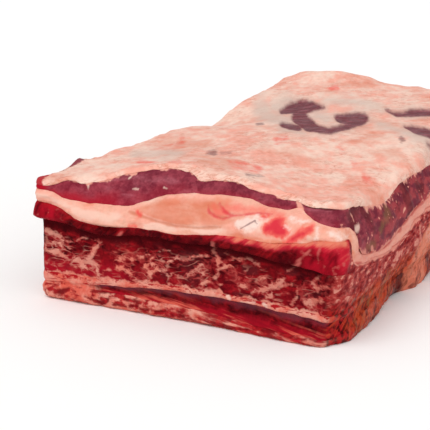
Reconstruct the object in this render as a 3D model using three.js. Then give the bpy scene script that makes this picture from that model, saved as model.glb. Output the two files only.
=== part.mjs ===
// Raw beef short ribs: a four-rib slab cut square, made of the layers of fat and lean that its sides show.
// Millimetres, +Z up. The origin is the middle of the underside, and the long cut face looks along -Y.
// Each layer runs through the slab as one closed solid, and rests a hair above the layer below it.

import * as THREE from "three";

// Driving dimensions of the slab
const LEFT = -79.5;
const RIGHT = 75;
const DEPTH = 296;
const FRONT = -DEPTH / 2;
const FRONT_LEFT_CORNER = 4;
const FRONT_RIGHT_CORNER = 2;
const BACK_CORNER = 22;
const LAYER_GAP = 0.3;

// Ribs run left to right under the meat. Their ends swell the right wall, with a notch between two of them.
const RIB_PITCH = 73;
const FIRST_NOTCH = 87;
const NOTCH_LEAD = 34;
const NOTCH_TAIL = 12;
const NOTCH_DEPTH = 0.75;
const RIB_SPACES = 3;
const RIB_SWELL = 9.5;
const RIB_SWELL_HEIGHT = 12;

// The right wall leans out up to this height. The left wall is hollow under the overhang of the flap.
const RIGHT_LEAN = 10;
const RIGHT_LEAN_HEIGHT = 37;
const LEFT_OVERHANG = 0.5;
const LEFT_HOLLOW = 2.2;
const UNDERSIDE_INSET = 0.8;
const FRONT_HEEL = 4;
const HEEL_HEIGHT = 6;
const TOP_PULL = 5;

// Above the front lip the fat and the cap lean slope back to the top, less and less towards the left end.
const LIP_REACH = 4;
const LIP_HEIGHT = 43.5;
const SIDE_LIP = 0.25;
const SHOULDER_FOOT = 41;
const SHOULDER_RISE = 30;
const SHOULDER_SETBACK = 22;
const SHOULDER_POWER = 1.4;
const SHOULDER_FADE = 28;
const SHOULDER_RUN = 60;

// Fat cap: thickness at its edge and inside, and the band over which its edge rolls up to the top.
const FAT_EDGE = 2;
const FAT_DEPTH = 5;
const FAT_ROLL = 0.16;
const HIDDEN_EASE = 0.25;

// Heights of the layer edges on the four sides, from the underside up. A list holds [place, height] pairs.
// Places on the front and back are X, and on the right and left the distance from the front cut.
const EDGES = {
  underside: { front: 0, right: 0, back: 0, left: 0 },
  baseTop: {
    front: [[-78, 8.5], [-45, 9], [0, 7.5], [40, 5], [75, 3.2]],
    right: [[0, 3.2], [30, 8], [60, 10.5], [DEPTH, 11.5]],
    back: 9,
    left: 8.3,
  },
  ribMeatTop: {
    front: [[-78, 9.9], [-55, 10.6], [-30, 13], [0, 15], [35, 15], [75, 12.2]],
    right: [[0, 12.2], [60, 13.5], [DEPTH, 16]],
    back: 16,
    left: [[0, 9.9], [80, 14], [DEPTH, 16]],
  },
  lowerSeamTop: {
    front: [[-78, 14], [-50, 15], [-28, 15.5], [0, 17.5], [40, 17], [75, 14.6]],
    right: [[0, 14.6], [60, 16], [DEPTH, 19]],
    back: 19,
    left: [[0, 14], [80, 17.5], [DEPTH, 19]],
  },
  marbledTop: {
    front: [
      [-78, 42.3], [-64, 41.8], [-50, 39.1], [-37, 38.8], [-20, 40.7], [4, 40.3], [19, 41], [40, 39.6],
      [56, 37.6], [75, 35.9],
    ],
    right: [
      [0, 36], [10, 34], [24, 31.5], [50, 29.8], [62, 29.6], [75, 31], [96, 37], [160, 41.5], [DEPTH, 44],
    ],
    back: 44,
    left: [[0, 42.3], [100, 43], [DEPTH, 44]],
  },
  flapTop: {
    front: [
      [-78, 51.5], [-66, 49.6], [-56, 45.2], [-45, 42.7], [-36, 42.5], [-21, 44.8], [0, 44.3], [20, 46],
      [34, 46.6], [46, 46.6], [54, 47.4], [62, 48], [68, 48.6], [72, 49.8], [75, 50.2],
    ],
    right: [
      [0, 50], [5, 49.5], [8, 46.5], [10, 41], [14, 37.5], [24, 35.2], [50, 32.4], [62, 32.2], [75, 33.6],
      [96, 39.6], [160, 44.5], [DEPTH, 48],
    ],
    back: 48,
    left: [[0, 51.5], [40, 48.5], [176, 46], [DEPTH, 48]],
  },
  seamTop: {
    front: [
      [-78, 57.8], [-70, 57], [-64, 54.3], [-56, 53.5], [-48, 53], [-34, 53], [-28, 53.6], [-20, 56.2],
      [-10, 59.5], [2, 61.7], [12, 62.3], [28, 62.4], [35, 62.2], [42, 60.6], [54, 60.6], [60, 61.6],
      [63, 59.6], [67, 58], [75, 55.8],
    ],
    right: [
      [0, 55], [7, 54.2], [11, 52], [13, 49.5], [14.5, 46.5], [22, 40], [40, 36.3], [52, 36], [64, 37.7],
      [98, 45.8], [160, 50], [DEPTH, 56],
    ],
    back: 56,
    left: [[0, 57.8], [40, 54.5], [120, 53], [176, 50], [230, 53], [DEPTH, 56]],
  },
  capTop: {
    front: [
      [-78, 60.6], [-68, 60.4], [-61, 63.1], [-54, 61.5], [-46, 63.3], [-40, 65.2], [-34, 67.3],
      [-22, 69.7], [-8, 70.6], [0, 70], [5, 68], [20, 68.5], [26, 68], [31, 66.2], [45, 65.1], [50, 64.2],
      [57, 64.2], [62, 62.8], [75, 63],
    ],
    right: [
      [0, 62.5], [18, 61.2], [34, 58.4], [52, 55.6], [64, 55.9], [86, 60.2], [122, 60.6], [160, 64],
      [DEPTH, 68],
    ],
    back: [[-78, 73], [-30, 74], [0, 69], [75, 68]],
    left: [
      [0, 60.6], [20, 60.5], [33, 63.5], [46, 61], [60, 60.5], [140, 59.5], [176, 54.5], [212, 61],
      [245, 63.5], [272, 66], [DEPTH, 72],
    ],
  },
};
const INTERFACES = [...Object.keys(EDGES), "fatTop"];

// Heights of the hidden interfaces in the middle of the slab
const CORE_HEIGHTS = {
  underside: 0,
  baseTop: 8,
  ribMeatTop: 15,
  lowerSeamTop: 18.5,
  marbledTop: 40,
  flapTop: 45,
  seamTop: 52,
};

// Layers from the underside up: wall bulge, overhang of the lower edge at the front, colour and roughness
const LAYERS = [
  { node: "rib_base_fat", bulge: 1.2, lip: 0, colour: 0xd8705c, roughness: 0.45 },
  { node: "rib_meat", bulge: -0.6, lip: 0, colour: 0x6b0f18, roughness: 0.35 },
  { node: "lower_seam_fat", bulge: 0.5, lip: 0, colour: 0xdc8a74, roughness: 0.45 },
  { node: "marbled_meat", bulge: 0.8, lip: 0, colour: 0x7c1620, roughness: 0.35 },
  { node: "flap_meat", bulge: 0.8, lip: 3, colour: 0x8a0d18, roughness: 0.3 },
  { node: "seam_fat", bulge: 2.2, lip: 0, colour: 0xf0b79c, roughness: 0.45 },
  { node: "cap_meat", bulge: 0.8, lip: 0, colour: 0x8c3a48, roughness: 0.35 },
  { node: "fat_cap", bulge: 0.4, lip: 0.8, colour: 0xecb9a2, roughness: 0.5 },
];

// Mesh steps: stations on each side and round a corner, wall rows, and rings from the edge to the middle
const SIDE_STEPS = { front: 30, right: 22, back: 12, left: 19 };
const CORNER_STEPS = 2;
const WALL_ROWS = 2;
const HIDDEN_RINGS = [0.15, 0.55];
const TOP_RINGS = [0.04, 0.09, 0.16, 0.25, 0.36, 0.49, 0.64, 0.82];

const mix = (a, b, t) => a + (b - a) * t;
const hill = (at, centre, width) => Math.exp(-(((at - centre) / width) ** 2));
const smooth = (low, high, at) => THREE.MathUtils.smoothstep(at, low, high);

// A smooth curve through [place, height] pairs: cubics, with slopes from the points on either side.
function through(pairs, at) {
  if (typeof pairs === "number") return pairs;
  const last = pairs.length - 1;
  const place = THREE.MathUtils.clamp(at, pairs[0][0], pairs[last][0]);
  let i = 0;
  while (i < last - 1 && place > pairs[i + 1][0]) i++;
  const slope = (k) => {
    const before = pairs[Math.max(k - 1, 0)];
    const after = pairs[Math.min(k + 1, last)];
    return (after[1] - before[1]) / (after[0] - before[0]);
  };
  const span = pairs[i + 1][0] - pairs[i][0];
  const t = (place - pairs[i][0]) / span;
  const rise = 3 * t * t - 2 * t * t * t;
  const leave = (t * t * t - 2 * t * t + t) * span * slope(i);
  const arrive = (t * t * t - t * t) * span * slope(i + 1);
  return mix(pairs[i][1], pairs[i + 1][1], rise) + leave + arrive;
}

// The top of the fat: a crown behind the front edge, a full middle, a dip at the left, a high back corner.
function topHeight(x, back) {
  const crown = 9.5 * hill(x, -4, 42) * hill(back, 15, 55);
  const middle = 7 * hill(x, 15, 65) * smooth(40, 120, back);
  const rightRise = 4 * smooth(20, 75, x) * smooth(70, 150, back);
  const backRise = 6 * smooth(190, 240, back) * (1 - 0.6 * smooth(-50, 20, x));
  const backPeak = 9 * hill(x, -55, 35) * hill(back, 300, 28);
  const leftDip = 6 * hill(x, -80, 35) * hill(back, 176, 24);
  return 63 + crown + middle + rightRise + backRise + backPeak - leftDip;
}

// Stations round the slab, anticlockwise from the front left: a round-cornered rectangle and its normals.
function outline() {
  const back = FRONT + DEPTH;
  const sides = [
    { from: [LEFT, FRONT], to: [RIGHT, FRONT], normal: [0, -1], steps: SIDE_STEPS.front },
    { from: [RIGHT, FRONT], to: [RIGHT, back], normal: [1, 0], steps: SIDE_STEPS.right },
    { from: [RIGHT, back], to: [LEFT, back], normal: [0, 1], steps: SIDE_STEPS.back },
    { from: [LEFT, back], to: [LEFT, FRONT], normal: [-1, 0], steps: SIDE_STEPS.left },
  ];
  const stations = [];
  for (const { from, to, normal, steps } of sides) {
    const side = new THREE.Vector2(to[0] - from[0], to[1] - from[1]);
    const frontRadius = (x) => (x === LEFT ? FRONT_LEFT_CORNER : FRONT_RIGHT_CORNER);
    const radiusAt = ([x, y]) => (y === FRONT ? frontRadius(x) : BACK_CORNER);
    const [startRadius, endRadius] = [radiusAt(from), radiusAt(to)];
    const straight = side.length() - startRadius - endRadius;
    const along = side.normalize();
    const out = new THREE.Vector2(...normal);
    const start = new THREE.Vector2(...from).addScaledVector(along, startRadius);
    for (let i = 0; i <= steps; i++) {
      const at = start.clone().addScaledVector(along, (straight * i) / steps);
      stations.push({ at, out });
    }
    const end = start.clone().addScaledVector(along, straight);
    for (let j = 1; j < CORNER_STEPS; j++) {
      const turn = ((Math.PI / 2) * j) / CORNER_STEPS;
      const turned = out.clone().multiplyScalar(Math.cos(turn)).addScaledVector(along, Math.sin(turn));
      const centre = end.clone().addScaledVector(out, -endRadius);
      stations.push({ at: centre.addScaledVector(turned, endRadius), out: turned });
    }
  }
  return stations;
}

// A value that differs by side, blended round the corners by how far a station faces each side.
function bySide(station, value) {
  const { at, out } = station;
  const back = at.y - FRONT;
  const shares = [
    [-out.y, value.front, at.x],
    [out.x, value.right, back],
    [out.y, value.back, at.x],
    [-out.x, value.left, back],
  ];
  let sum = 0;
  for (const [facing, side, place] of shares) if (facing > 0) sum += facing * facing * side(place);
  return sum;
}

function edgeHeight(name, station) {
  if (name === "fatTop") return edgeHeight("capTop", station) + FAT_EDGE;
  const edge = EDGES[name];
  return bySide(station, {
    front: (x) => through(edge.front, x),
    right: (back) => through(edge.right, back),
    back: (x) => through(edge.back, x),
    left: (back) => through(edge.left, back),
  });
}

// How far the wall stands out from the outline at a height: the lips, the lean and the rib ends.
function wallReach(station, height) {
  const inset = UNDERSIDE_INSET * Math.max(0, 1 - height / 3);
  const lip = LIP_REACH * smooth(LIP_HEIGHT - 2, LIP_HEIGHT + 1.5, height);
  const lean = RIGHT_LEAN * Math.min(1, height / RIGHT_LEAN_HEIGHT) ** 0.8;
  const rib = (back) => {
    let share = smooth(-6, 14, back);
    for (let space = 0; space < RIB_SPACES; space++) {
      const notch = FIRST_NOTCH + space * RIB_PITCH;
      share -= NOTCH_DEPTH * hill(back, notch, back < notch ? NOTCH_LEAD : NOTCH_TAIL);
    }
    return share;
  };
  const swell = RIB_SWELL * Math.exp(-height / RIB_SWELL_HEIGHT);
  const heel = FRONT_HEEL * Math.exp(-height / HEEL_HEIGHT);
  const topPull = TOP_PULL * smooth(46, 60, height);
  const overhang = LEFT_OVERHANG * smooth(38, 42, height) - LEFT_HOLLOW * hill(height, 32, 10);
  return bySide(station, {
    front: (x) => lip + heel * smooth(0, 70, x) - inset,
    right: (back) => lean + swell * rib(back) - topPull - inset,
    back: () => -topPull - inset,
    left: () => overhang - 0.5 * topPull - inset,
  });
}

// The wall in plan at a height, with the front pushed back above the lip to slope as a shoulder.
function wallPlan(station, height, extra) {
  const plan = station.at.clone().addScaledVector(station.out, wallReach(station, height) + extra);
  const aboveFoot = Math.max(0, (height - SHOULDER_FOOT) / SHOULDER_RISE);
  const setback = SHOULDER_SETBACK * aboveFoot ** SHOULDER_POWER * (1 - hill(plan.x, LEFT, SHOULDER_FADE));
  plan.y += setback * Math.max(0, 1 - (station.at.y - FRONT) / SHOULDER_RUN);
  return plan;
}

// A point of an interface, from its edge (share 0) towards the middle of the slab (share 1).
function interfacePoint(name, station, share, lift) {
  const edge = edgeHeight(name, station);
  const plan = wallPlan(station, edge, 0).multiplyScalar(1 - share);
  let height = mix(edge, CORE_HEIGHTS[name], smooth(0, HIDDEN_EASE, share));
  if (name === "capTop" || name === "fatTop") {
    const top = topHeight(plan.x, plan.y - FRONT) - (name === "capTop" ? FAT_DEPTH : 0);
    const left = 1 - Math.min(1, share / FAT_ROLL);
    height = mix(edge, top, Math.sqrt(1 - left * left));
  }
  return new THREE.Vector3(plan.x, plan.y, height + lift);
}

// The wall of a layer between its lower and upper edge, bulging between them.
function wallPoint(lower, upper, station, layer, share, lifts) {
  const low = edgeHeight(lower, station);
  const high = edgeHeight(upper, station);
  const lip = layer.lip * mix(SIDE_LIP, 1, Math.max(0, -station.out.y));
  const extra = lip * (1 - share) + layer.bulge * 4 * share * (1 - share);
  const plan = wallPlan(station, mix(low, high, share), extra);
  return new THREE.Vector3(plan.x, plan.y, mix(low + lifts[0], high + lifts[1], share));
}

// One layer as a closed mesh: rings out along its lower interface, up its wall and in along its upper one.
function layerGeometry(layer, index, stations) {
  const [lower, upper] = INTERFACES.slice(index, index + 2);
  const lifts = [lower === "underside" ? 0 : LAYER_GAP / 2, upper === "fatTop" ? 0 : -LAYER_GAP / 2];
  const ringsOf = (name) => (name === "capTop" || name === "fatTop" ? TOP_RINGS : HIDDEN_RINGS);
  const rings = [];
  const addInterfaceRing = (name, share, lift) =>
    rings.push(stations.map((station) => interfacePoint(name, station, share, lift)));
  for (const share of [...ringsOf(lower)].reverse()) addInterfaceRing(lower, share, lifts[0]);
  if (layer.lip > 0) addInterfaceRing(lower, 0, lifts[0]);
  const lowerRings = rings.length;
  for (let row = 0; row <= WALL_ROWS; row++)
    rings.push(stations.map((station) => wallPoint(lower, upper, station, layer, row / WALL_ROWS, lifts)));
  for (const share of ringsOf(upper)) addInterfaceRing(upper, share, lifts[1]);

  const positions = rings.flat();
  const lowPole = positions.push(interfacePoint(lower, stations[0], 1, lifts[0])) - 1;
  const highPole = positions.push(interfacePoint(upper, stations[0], 1, lifts[1])) - 1;
  const count = stations.length;
  const faces = [];
  for (let i = 0; i < count; i++) {
    const next = (i + 1) % count;
    const lastRing = (rings.length - 1) * count;
    faces.push(lowPole, next, i);
    faces.push(highPole, lastRing + i, lastRing + next);
    for (let ring = 0; ring < lastRing; ring += count) {
      const [a, b, c, d] = [ring + i, ring + next, ring + count + next, ring + count + i];
      if (ring < lowerRings * count) faces.push(a, b, d, b, c, d);
      else faces.push(a, b, c, a, c, d);
    }
  }
  const geometry = new THREE.BufferGeometry().setFromPoints(positions).setIndex(faces);
  geometry.computeVertexNormals();
  return geometry;
}

const slab = new THREE.Group();
const stations = outline();
LAYERS.forEach((layer, index) => {
  const { colour: color, roughness } = layer;
  const material = new THREE.MeshStandardMaterial({ color, roughness, metalness: 0 });
  const mesh = new THREE.Mesh(layerGeometry(layer, index, stations), material);
  mesh.name = layer.node;
  slab.add(mesh);
});

export default slab;
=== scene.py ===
"""Raw beef short ribs: a slab of eight layers of fat and lean, cut square, on a plain pale floor."""

from dataclasses import dataclass

import bpy
import numpy as np
from bpy.props import FloatProperty, FloatVectorProperty, PointerProperty
from mathutils import Matrix, Vector


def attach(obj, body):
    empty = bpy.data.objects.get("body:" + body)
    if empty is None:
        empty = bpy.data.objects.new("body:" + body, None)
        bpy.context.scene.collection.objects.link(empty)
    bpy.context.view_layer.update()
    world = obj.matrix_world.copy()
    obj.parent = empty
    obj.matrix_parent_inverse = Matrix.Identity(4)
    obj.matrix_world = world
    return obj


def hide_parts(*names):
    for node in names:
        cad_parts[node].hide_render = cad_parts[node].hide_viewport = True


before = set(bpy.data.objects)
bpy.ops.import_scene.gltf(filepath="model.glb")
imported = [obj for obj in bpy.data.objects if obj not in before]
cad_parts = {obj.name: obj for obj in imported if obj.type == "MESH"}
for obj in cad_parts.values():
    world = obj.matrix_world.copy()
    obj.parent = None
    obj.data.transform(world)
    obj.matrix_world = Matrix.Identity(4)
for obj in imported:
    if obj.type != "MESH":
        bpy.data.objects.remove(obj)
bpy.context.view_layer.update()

bl_info = {
    "name": "Raw Beef Short Ribs",
    "version": (1, 0, 0),
    "blender": (4, 5, 0),
    "location": "View3D > Sidebar > Short Ribs",
    "description": "Builds a slab of raw beef short ribs in layers of fat and marbled lean",
    "category": "Add Mesh",
}

MM = 0.001

# The width of the camera's frame in mm, and for each light where it comes from and its disc in radians.
SENSOR_WIDTH = 36
KEY_FROM = (-0.15, -0.6, 1.0)
KEY_DISC = 0.7
FILL_FROM = (0.8, -0.4, 0.6)
FILL_DISC = 1.2

# Heights in mm of the layer edges on the four sides, from the underside up, as (place, height) pairs.
# Places on the front and back are X, and on the right and left the distance from the front cut.
EDGES = {
    "underside": {"front": 0, "right": 0, "back": 0, "left": 0},
    "base_top": {
        "front": [(-78, 8.5), (-45, 9), (0, 7.5), (40, 5), (75, 3.2)],
        "right": [(0, 3.2), (30, 8), (60, 10.5), (296, 11.5)],
        "back": 9,
        "left": 8.3,
    },
    "rib_meat_top": {
        "front": [(-78, 9.9), (-55, 10.6), (-30, 13), (0, 15), (35, 15), (75, 12.2)],
        "right": [(0, 12.2), (60, 13.5), (296, 16)],
        "back": 16,
        "left": [(0, 9.9), (80, 14), (296, 16)],
    },
    "lower_seam_top": {
        "front": [(-78, 14), (-50, 15), (-28, 15.5), (0, 17.5), (40, 17), (75, 14.6)],
        "right": [(0, 14.6), (60, 16), (296, 19)],
        "back": 19,
        "left": [(0, 14), (80, 17.5), (296, 19)],
    },
    "marbled_top": {
        "front": [
            (-78, 42.3), (-64, 41.8), (-50, 39.1), (-37, 38.8), (-20, 40.7), (4, 40.3), (19, 41), (40, 39.6),
            (56, 37.6), (75, 35.9),
        ],
        "right": [
            (0, 36), (10, 34), (24, 31.5), (50, 29.8), (62, 29.6), (75, 31), (96, 37), (160, 41.5),
            (296, 44),
        ],
        "back": 44,
        "left": [(0, 42.3), (100, 43), (296, 44)],
    },
    "flap_top": {
        "front": [
            (-78, 51.5), (-66, 49.6), (-56, 45.2), (-45, 42.7), (-36, 42.5), (-21, 44.8), (0, 44.3),
            (20, 46), (34, 46.6), (46, 46.6), (54, 47.4), (62, 48), (68, 48.6), (72, 49.8), (75, 50.2),
        ],
        "right": [
            (0, 50), (5, 49.5), (8, 46.5), (10, 41), (14, 37.5), (24, 35.2), (50, 32.4), (62, 32.2),
            (75, 33.6), (96, 39.6), (160, 44.5), (296, 48),
        ],
        "back": 48,
        "left": [(0, 51.5), (40, 48.5), (176, 46), (296, 48)],
    },
    "seam_top": {
        "front": [
            (-78, 57.8), (-70, 57), (-64, 54.3), (-56, 53.5), (-48, 53), (-34, 53), (-28, 53.6), (-20, 56.2),
            (-10, 59.5), (2, 61.7), (12, 62.3), (28, 62.4), (35, 62.2), (42, 60.6), (54, 60.6), (60, 61.6),
            (63, 59.6), (67, 58), (75, 55.8),
        ],
        "right": [
            (0, 55), (7, 54.2), (11, 52), (13, 49.5), (14.5, 46.5), (22, 40), (40, 36.3), (52, 36),
            (64, 37.7), (98, 45.8), (160, 50), (296, 56),
        ],
        "back": 56,
        "left": [(0, 57.8), (40, 54.5), (120, 53), (176, 50), (230, 53), (296, 56)],
    },
    "cap_top": {
        "front": [
            (-78, 60.6), (-68, 60.4), (-61, 63.1), (-54, 61.5), (-46, 63.3), (-40, 65.2), (-34, 67.3),
            (-22, 69.7), (-8, 70.6), (0, 70), (5, 68), (20, 68.5), (26, 68), (31, 66.2), (45, 65.1),
            (50, 64.2), (57, 64.2), (62, 62.8), (75, 63),
        ],
        "right": [
            (0, 62.5), (18, 61.2), (34, 58.4), (52, 55.6), (64, 55.9), (86, 60.2), (122, 60.6),
            (160, 64), (296, 68),
        ],
        "back": [(-78, 73), (-30, 74), (0, 69), (75, 68)],
        "left": [
            (0, 60.6), (20, 60.5), (33, 63.5), (46, 61), (60, 60.5), (140, 59.5), (176, 54.5), (212, 61),
            (245, 63.5), (272, 66), (296, 72),
        ],
    },
}

# Heights in mm of the hidden interfaces in the middle of the slab.
CORE_HEIGHTS = {
    "underside": 0,
    "base_top": 8,
    "rib_meat_top": 15,
    "lower_seam_top": 18.5,
    "marbled_top": 40,
    "flap_top": 45,
    "seam_top": 52,
}

# Shares of the way in from the edge: a hidden interface's rings, where it reaches its middle height, and
# where the top has rolled over its edge. Each skin tucks a little into its neighbours, in mm.
HIDDEN_RINGS = (0.15, 0.55)
HIDDEN_EASE = 0.25
FAT_ROLL = 0.16
TUCK = 0.25

# Walls, in mm unless a share: how the foot, the heel, the lean, the rib ends, the top and the shoulder run.
FOOT_INSET = 0.8
FOOT_HEIGHT = 3
HEEL_FADE = 6
LEAN_HEIGHT = 37
RIB_SPACES = 3
RIB_FADE = 12
NOTCH_DEPTH = 0.75
NOTCH_WIDTHS = (34, 12)
NOTCH_SHADE = 7
TOP_PULL = 5
TOP_PULL_RISE = (46, 60)
SHOULDER_FOOT = 41
SHOULDER_RISE = 30
SHOULDER_RUN = 60

# Fat behind the spaces between ribs: it leans back above its foot, and each patch thins out towards its end.
RIB_FAT_FOOT = 13
RIB_FAT_LEAN = 1.3
RIB_FAT_WAVER = 9
RIB_FAT_START = (-8, 8)
RIB_FAT_END = (56, 22)
RIB_FAT_FADE = 0.85

# How strongly the film on fat and on lean mirrors the light.
FAT_SHINE = 0.06
LEAN_SHINE = 0.02

# A field of marks holds the distance inside a mark in mm, and this value where no mark is near.
OUTSIDE = -40.0

# Marks are tapered strokes: points of (along, up, half width) in mm.
# Those of the front cut are placed by X and height.
FRONT_VEINS = [
    [(-75, 36, 1.6), (-68, 34, 1.8), (-65, 32, 0.8)],
    [(-65, 32, 0.5), (-59, 32, 0.4), (-54, 35, 0.6), (-50, 35, 0.5), (-44, 34, 0.8)],
    [(-43, 34, 1.0), (-46, 31, 1.6), (-48, 27, 1.5), (-50, 24, 2.0)],
    [(-75, 30, 0.8), (-68, 30, 1.2), (-66, 28, 0.8)],
    [(-77, 26, 1.0), (-70, 26, 1.6), (-65, 24, 1.6), (-61, 22, 1.0)],
    [(-61, 22, 1.0), (-55, 23, 1.4), (-49, 23, 1.8), (-43, 22, 0.9)],
    [(-64, 29, 0.4), (-59, 29, 0.4)],
    [(-59, 19, 0.4), (-55, 20, 1.1), (-49, 20, 1.2), (-44, 22, 0.6)],
    [(-77, 19, 0.4), (-71, 18, 0.5), (-66, 18, 0.4)],
    [(-55, 19, 0.5), (-55, 15, 0.6)],
    [(-45, 20, 0.6), (-45, 15, 0.6)],
    [(-42, 20, 0.7), (-35, 21, 0.8), (-31, 22, 1.2), (-26, 20, 0.8)],
    [(-65, 14, 0.4), (-61, 16, 0.4)],
    [(-35, 26, 0.5), (-31, 26, 0.6), (-29, 28, 0.3)],
    [(-34, 35, 0.4), (-28, 35, 0.4)],
    [(-32, 27, 0.4), (-23, 28, 0.5), (-19, 30, 0.6), (-16, 32, 0.4)],
    [(-19, 24, 0.7), (-17, 26, 0.7), (-13, 27, 0.5)],
    [(-5, 29, 0.5), (0, 32, 1.2), (3, 31, 0.6), (9, 34, 0.9), (16, 35, 0.5)],
    [(21, 43, 0.5), (19, 38, 1.2), (22, 35, 0.9)],
    [(22, 33, 1.0), (22, 28, 1.3), (20, 25, 1.2), (23, 22, 0.8)],
    [(22, 30, 0.9), (28, 32, 0.6), (34, 33, 0.4)],
    [(-10, 34, 0.4), (-4, 35, 0.4)],
    [(-14, 30, 0.4), (-10, 31, 0.3)],
    [(-11, 25, 0.8), (-15, 22, 1.4), (-16, 18, 1.6), (-19, 15, 1.4)],
    [(-11, 24, 0.7), (-7, 25, 0.7), (-5, 22, 0.9), (-5, 18, 1.0)],
    [(-4, 24, 0.4), (1, 23, 0.6), (5, 23, 0.5), (8, 27, 0.4)],
    [(0, 22, 0.9), (1, 19, 1.0)],
    [(12, 20, 0.6), (16, 22, 0.5)],
    [(10, 28, 0.5), (13, 30, 0.4)],
    [(12, 28, 0.5), (14, 26, 0.6)],
    [(25, 38, 0.5), (31, 36, 1.0), (37, 37, 1.0), (43, 35, 0.8)],
    [(28, 35, 0.6), (34, 35, 0.4)],
    [(56, 30, 0.9), (53, 26, 2.0), (48, 24, 1.2), (43, 22, 0.8), (39, 20, 0.5)],
    [(54, 26, 1.2), (60, 28, 0.6)],
    [(63, 26, 0.5), (63, 22, 1.0), (60, 18, 0.7)],
    [(74, 34, 0.5), (71, 30, 1.1), (73, 26, 0.8)],
    [(58, 34, 0.4), (65, 39, 0.8)],
    [(67, 20, 1.6), (76, 23, 1.5)],
    [(73, 28, 0.6), (79, 30, 0.9), (83, 30, 0.6)],
    [(43, 27, 0.4), (47, 29, 0.4)],
    [(45, 21, 0.4), (48, 18, 0.5)],
    [(50, 23, 0.5), (49, 19, 0.4)],
    [(34, 23, 0.5), (38, 23, 0.4)],
]
BASE_GAPS = [
    [(-77, 7.5, 0.5), (-73, 8.5, 0.7), (-69, 8, 0.5)],
    [(-71, 4.5, 0.8), (-67, 5, 1.6), (-63, 6.5, 1.0)],
    [(-77.5, 4.5, 0.6), (-76.5, 1.5, 0.6)],
    [(-53, 4.5, 0.5), (-48, 3, 0.9), (-43, 2.5, 1.0), (-39.5, 4.5, 0.7)],
    [(-49, 8, 0.8), (-41, 9, 1.2), (-31, 9, 0.6)],
    [(-37, 2.5, 0.6), (-29.5, 3, 0.6)],
    [(-30, 6.5, 0.9), (-21, 6, 0.9)],
    [(-27, 3.5, 0.6), (-22.5, 4, 0.7)],
    [(-21, 3, 0.9), (-16.5, 3.5, 0.9)],
    [(-12.5, 3, 0.7), (-7, 4, 0.8)],
    [(-3, 2.5, 0.7), (3, 3, 0.8)],
    [(7, 2, 0.6), (10, 2, 0.6)],
    [(19, 1.5, 0.7), (25, 2, 0.8)],
    [(27, 1, 0.4), (31, 2, 0.6)],
    [(34, 2, 0.7), (38.5, 2.5, 0.7)],
    [(35, 4, 0.7), (39.5, 3.5, 0.6)],
    [(41, 3.5, 1.0), (46, 4, 1.4), (51.5, 4, 1.0)],
    [(56, 3.5, 0.9), (61.5, 3.5, 1.0)],
    [(63, 2.5, 0.6), (69, 3, 0.7)],
]
FLAP_VEINS = [
    [(21, 43, 0.5), (19, 38, 1.2), (22, 35, 0.9)],
    [(-33, 37, 0.3), (-30, 41, 0.9)],
    [(60, 36, 0.4), (65, 39, 0.7)],
    [(64, 40, 0.2), (70, 46, 0.5)],
    [(74, 42, 0.3), (75, 48, 0.5)],
]
# Pale beads of fat on the lower seam, which also serve as painted glints.
SEAM_BEADS_AND_GLINTS = [
    [(27, 17, 0.9), (28, 16, 0.9)],
    [(34, 15, 0.4), (41, 16, 0.5)],
    [(46, 16, 0.8), (47, 15, 0.8)],
]
SEAM_CREASE_LINE = [(-30, 51.5), (-21, 50.5), (-10, 49), (0, 48), (12, 48.5), (23, 50), (30, 52)]
SEAM_CREASE = [
    [(-27, 51.5, 0.1), (-21, 50.5, 0.3), (-10, 49, 0.2), (0, 48, 0.3), (12, 48.5, 0.3), (23, 50, 0.2)],
]
SEAM_FOLDS = [
    [(14, 58.5, 0.1), (16, 56, 0.3), (19, 54.5, 0.3), (23, 53.5, 0.2), (28, 55.5, 0.3)],
    [(23, 57, 0.4), (27, 55.5, 0.6), (31, 56, 0.4), (38, 57.5, 0.3), (47, 58, 0.2)],
    [(19, 59.5, 0.1), (22, 58, 0.3), (24, 56.5, 0.3)],
]
SEAM_BLOOD = [
    [(-22, 51.5, 0.1), (-20, 50.5, 0.2)],
    [(-25, 45, 0.3), (-21, 45.5, 0.2)],
    [(47, 52.5, 2.2), (51, 53.5, 4.0), (55.5, 52, 2.8)],
    [(68, 54.5, 1.0), (65.5, 52.5, 2.0), (62.5, 51, 2.2), (59, 48.5, 1.6), (56.5, 46.5, 0.8)],
    [(43, 57, 0.7), (45, 57, 0.6)],
]
SEAM_FLUSH = [
    [(17, 58.5, 1.0), (20, 56.5, 2.0), (24, 57, 1.6)],
    [(23, 59, 0.8), (30, 58.5, 1.2), (40, 59, 1.0), (52, 58.5, 0.8)],
    [(-24, 44.5, 0.6), (-22, 47, 0.1), (-20, 51, 0.3)],
]
SEAM_WHITE = [
    [(32, 53, 1.2), (37.5, 53.5, 3.0), (41, 54.5, 2.0)],
    [(39.5, 56.5, 0.8), (45.5, 56, 0.5)],
    [(57.5, 57.5, 0.9), (62, 57, 1.0), (66, 57, 0.4)],
    [(55, 55, 0.2), (58, 53.5, 0.4)],
    [(71, 55, 0.2), (72.5, 51.5, 0.8)],
    [(76.5, 54, 0.3), (80, 53, 0.9), (83, 51, 0.5)],
]
SEAM_TEAR = [[(34, 51, 0.2), (40, 55, 0.35), (42, 54, 0.2)]]
# Specks on the cap lean's front: a bridge of fat at the right, and small pale specks to its left that are
# painted glints.
CAP_FAT_AND_GLINTS = [
    [(57, 65, 0.9), (58.5, 63, 1.1), (60, 61, 1.4)],
    [(-13, 63, 0.3), (-11, 62.5, 0.1)],
    [(-29, 61, 0.3), (-26, 61, 0.2)],
    [(-33, 65, 0.2), (-32, 66, 0.1)],
    [(-52, 61, 0.2), (-51.5, 59, 0.1)],
]

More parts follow.
